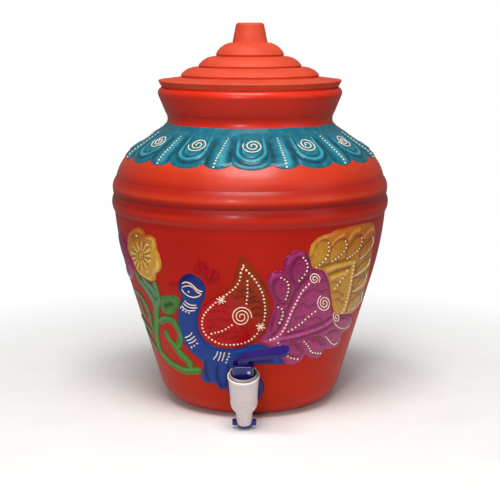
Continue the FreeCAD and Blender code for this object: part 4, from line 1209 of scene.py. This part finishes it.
def makeBeads():
    tree = treeOf([nodes["pot_body"]] + painted)
    for key, rows in dotRows.items():
        paintDots(f"{key}Dots", tree, rows)
    for key, singles in singleDots.items():
        paintDots(f"{key}Dots", tree, singles=singles)
    stars = [run for centre in wingStars for run in starPixels(centre)]
    groups = {
        "wingLines": stars + [spiralPixels(*values) for values in spirals["wing"]],
        "featherLines": drawn["featherEnds"] + [spiralPixels(*values) for values in spirals["feather"]],
        "goldLines": drawn["goldEdges"],
        "peacockLines": drawn["eye"] + drawn["neck"],
    }
    for name, runs in groups.items():
        paintLines(name, [runOnTop(tree, run) for run in runs])
    makeCollarBeads(tree)


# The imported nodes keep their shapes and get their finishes

finishes = {
    "lid": "lidPaint",
    "tap_body": "whitePlastic",
    "shank_nut": "whitePlastic",
    "bonnet": "bonnetPlastic",
    "stem_oring": "blackRubber",
    "bonnet_oring": "blackRubber",
    "hub": "bluePlastic",
    "lever": "leverPlastic",
    "lever_pin": "pinSteel",
    "stem": "stemPlastic",
    "seat_cup": "silicone",
    "stem_spring": "springSteel",
    # dark red-brown as painted shade of the pot's wall inside the blue ring
    "outer_washer": "washerRubberWallShade",
    "inner_washer": "washerRubberWallShade",
    "wall_ring": "ringPlastic",
    "outlet_ring": "ringPlastic",
}
cupRim = {"height": 30.4, "reach": 16.0}      # from the tap's pivot along its own axis


def dressNodes():
    for node, finish in finishes.items():
        data = nodes[node].data
        data.materials.clear()
        data.materials.append(materials[finish])
    tap = nodes["tap_body"].data
    # the faces round the cup's rim get the lighter copy of the white plastic, a painted highlight
    tap.materials.append(materials["rimHighlightPlastic"])
    swivel = jointOf("hub_swivel")
    pivot, axis = Vector(swivel["pos_m"]), Vector(swivel["axis"])
    for face in tap.polygons:
        offset = face.center - pivot
        high = offset.dot(axis)
        near = (offset - axis * high).length < cupRim["reach"] * mm
        face.material_index = 1 if near and high > cupRim["height"] * mm else 0


def makeLiftSpring():
    # The coil shortens as the stem lifts; here its copy, with its own mesh, stands on the pot's body in
    # place of the imported one
    spring = bpy.data.objects.new("liftSpring", nodes["stem_spring"].data.copy())
    bpy.context.scene.collection.objects.link(spring)
    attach(spring, "pot")
    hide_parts("stem_spring")
    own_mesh(spring)


# Floor, light and camera

lamps = {        # place, aim, size and power
    "keyLight": ((-300, -1600, 500), (0, 0, 200), (220, 220), 6.5),
    "fillLight": ((1500, -900, 600), (0, 0, 150), (800, 1200), 3.0),
    "topLight": ((0, -750, 1600), (0, 0, 200), (900, 900), 26.0),
}


def areaLight(name, place, aim, size, power):
    data = bpy.data.lights.new(name, "AREA")
    data.shape = "RECTANGLE"
    data.size, data.size_y = (side * mm for side in size)
    data.energy = power
    lamp = bpy.data.objects.new(name, data)
    bpy.context.scene.collection.objects.link(lamp)
    start, end = (Vector([value * mm for value in spot]) for spot in (place, aim))
    lamp.location = start
    lamp.rotation_euler = (end - start).to_track_quat("-Z", "Y").to_euler()


def makeStage():
    bpy.ops.object.select_all(action="DESELECT")
    bpy.ops.mesh.primitive_circle_add(vertices=stage["floorCorners"], radius=stage["floorRadius"] * mm,
                                      fill_type="NGON")
    floor = bpy.context.object
    floor.name = "floor"
    floor.data.materials.append(materials["floorPaper"])
    for name, values in lamps.items():
        areaLight(name, *values)
    world = bpy.data.worlds.new("studio")
    bpy.context.scene.world = world
    world.use_nodes = True
    world.node_tree.nodes.clear()
    add = partial(addNode, world.node_tree)
    toCamera = add("LightPath", out="Is Camera Ray")
    through = add("LightPath", out="Is Transmission Ray")
    direct = add("Math", {0: toCamera, 1: through}, operation="MAXIMUM")
    light = add("Background", {"Color": "#FFFFFF", "Strength": stage["worldLight"]})
    white = add("Background", {"Color": "#FFFFFF", "Strength": 1.0})
    mixed = add("MixShader", {0: direct, 1: light, 2: white})
    add("OutputWorld", {"Surface": mixed})


def makeCamera():
    data = bpy.data.cameras.new("camera")
    data.lens, data.sensor_width = camera["lens"], camera["sensor"]
    data.clip_end = camera["reach"] * mm
    viewer = bpy.data.objects.new("camera", data)
    bpy.context.scene.collection.objects.link(viewer)
    viewer.location = eye
    viewer.rotation_euler = lookWay.to_track_quat("-Z", "Y").to_euler()
    bpy.context.scene.camera = viewer


paintPot()
dressNodes()
makeLiftSpring()
print("packed nodes painted")
makeCollar()
print("collar made")
makeFlowers()
makeFeathers()
makePeacock()
print("figures made")
makeBeads()
print("dots and lines made")
makeStage()
makeCamera()
bpy.context.scene.view_settings.view_transform = "Standard"
print("stage set")
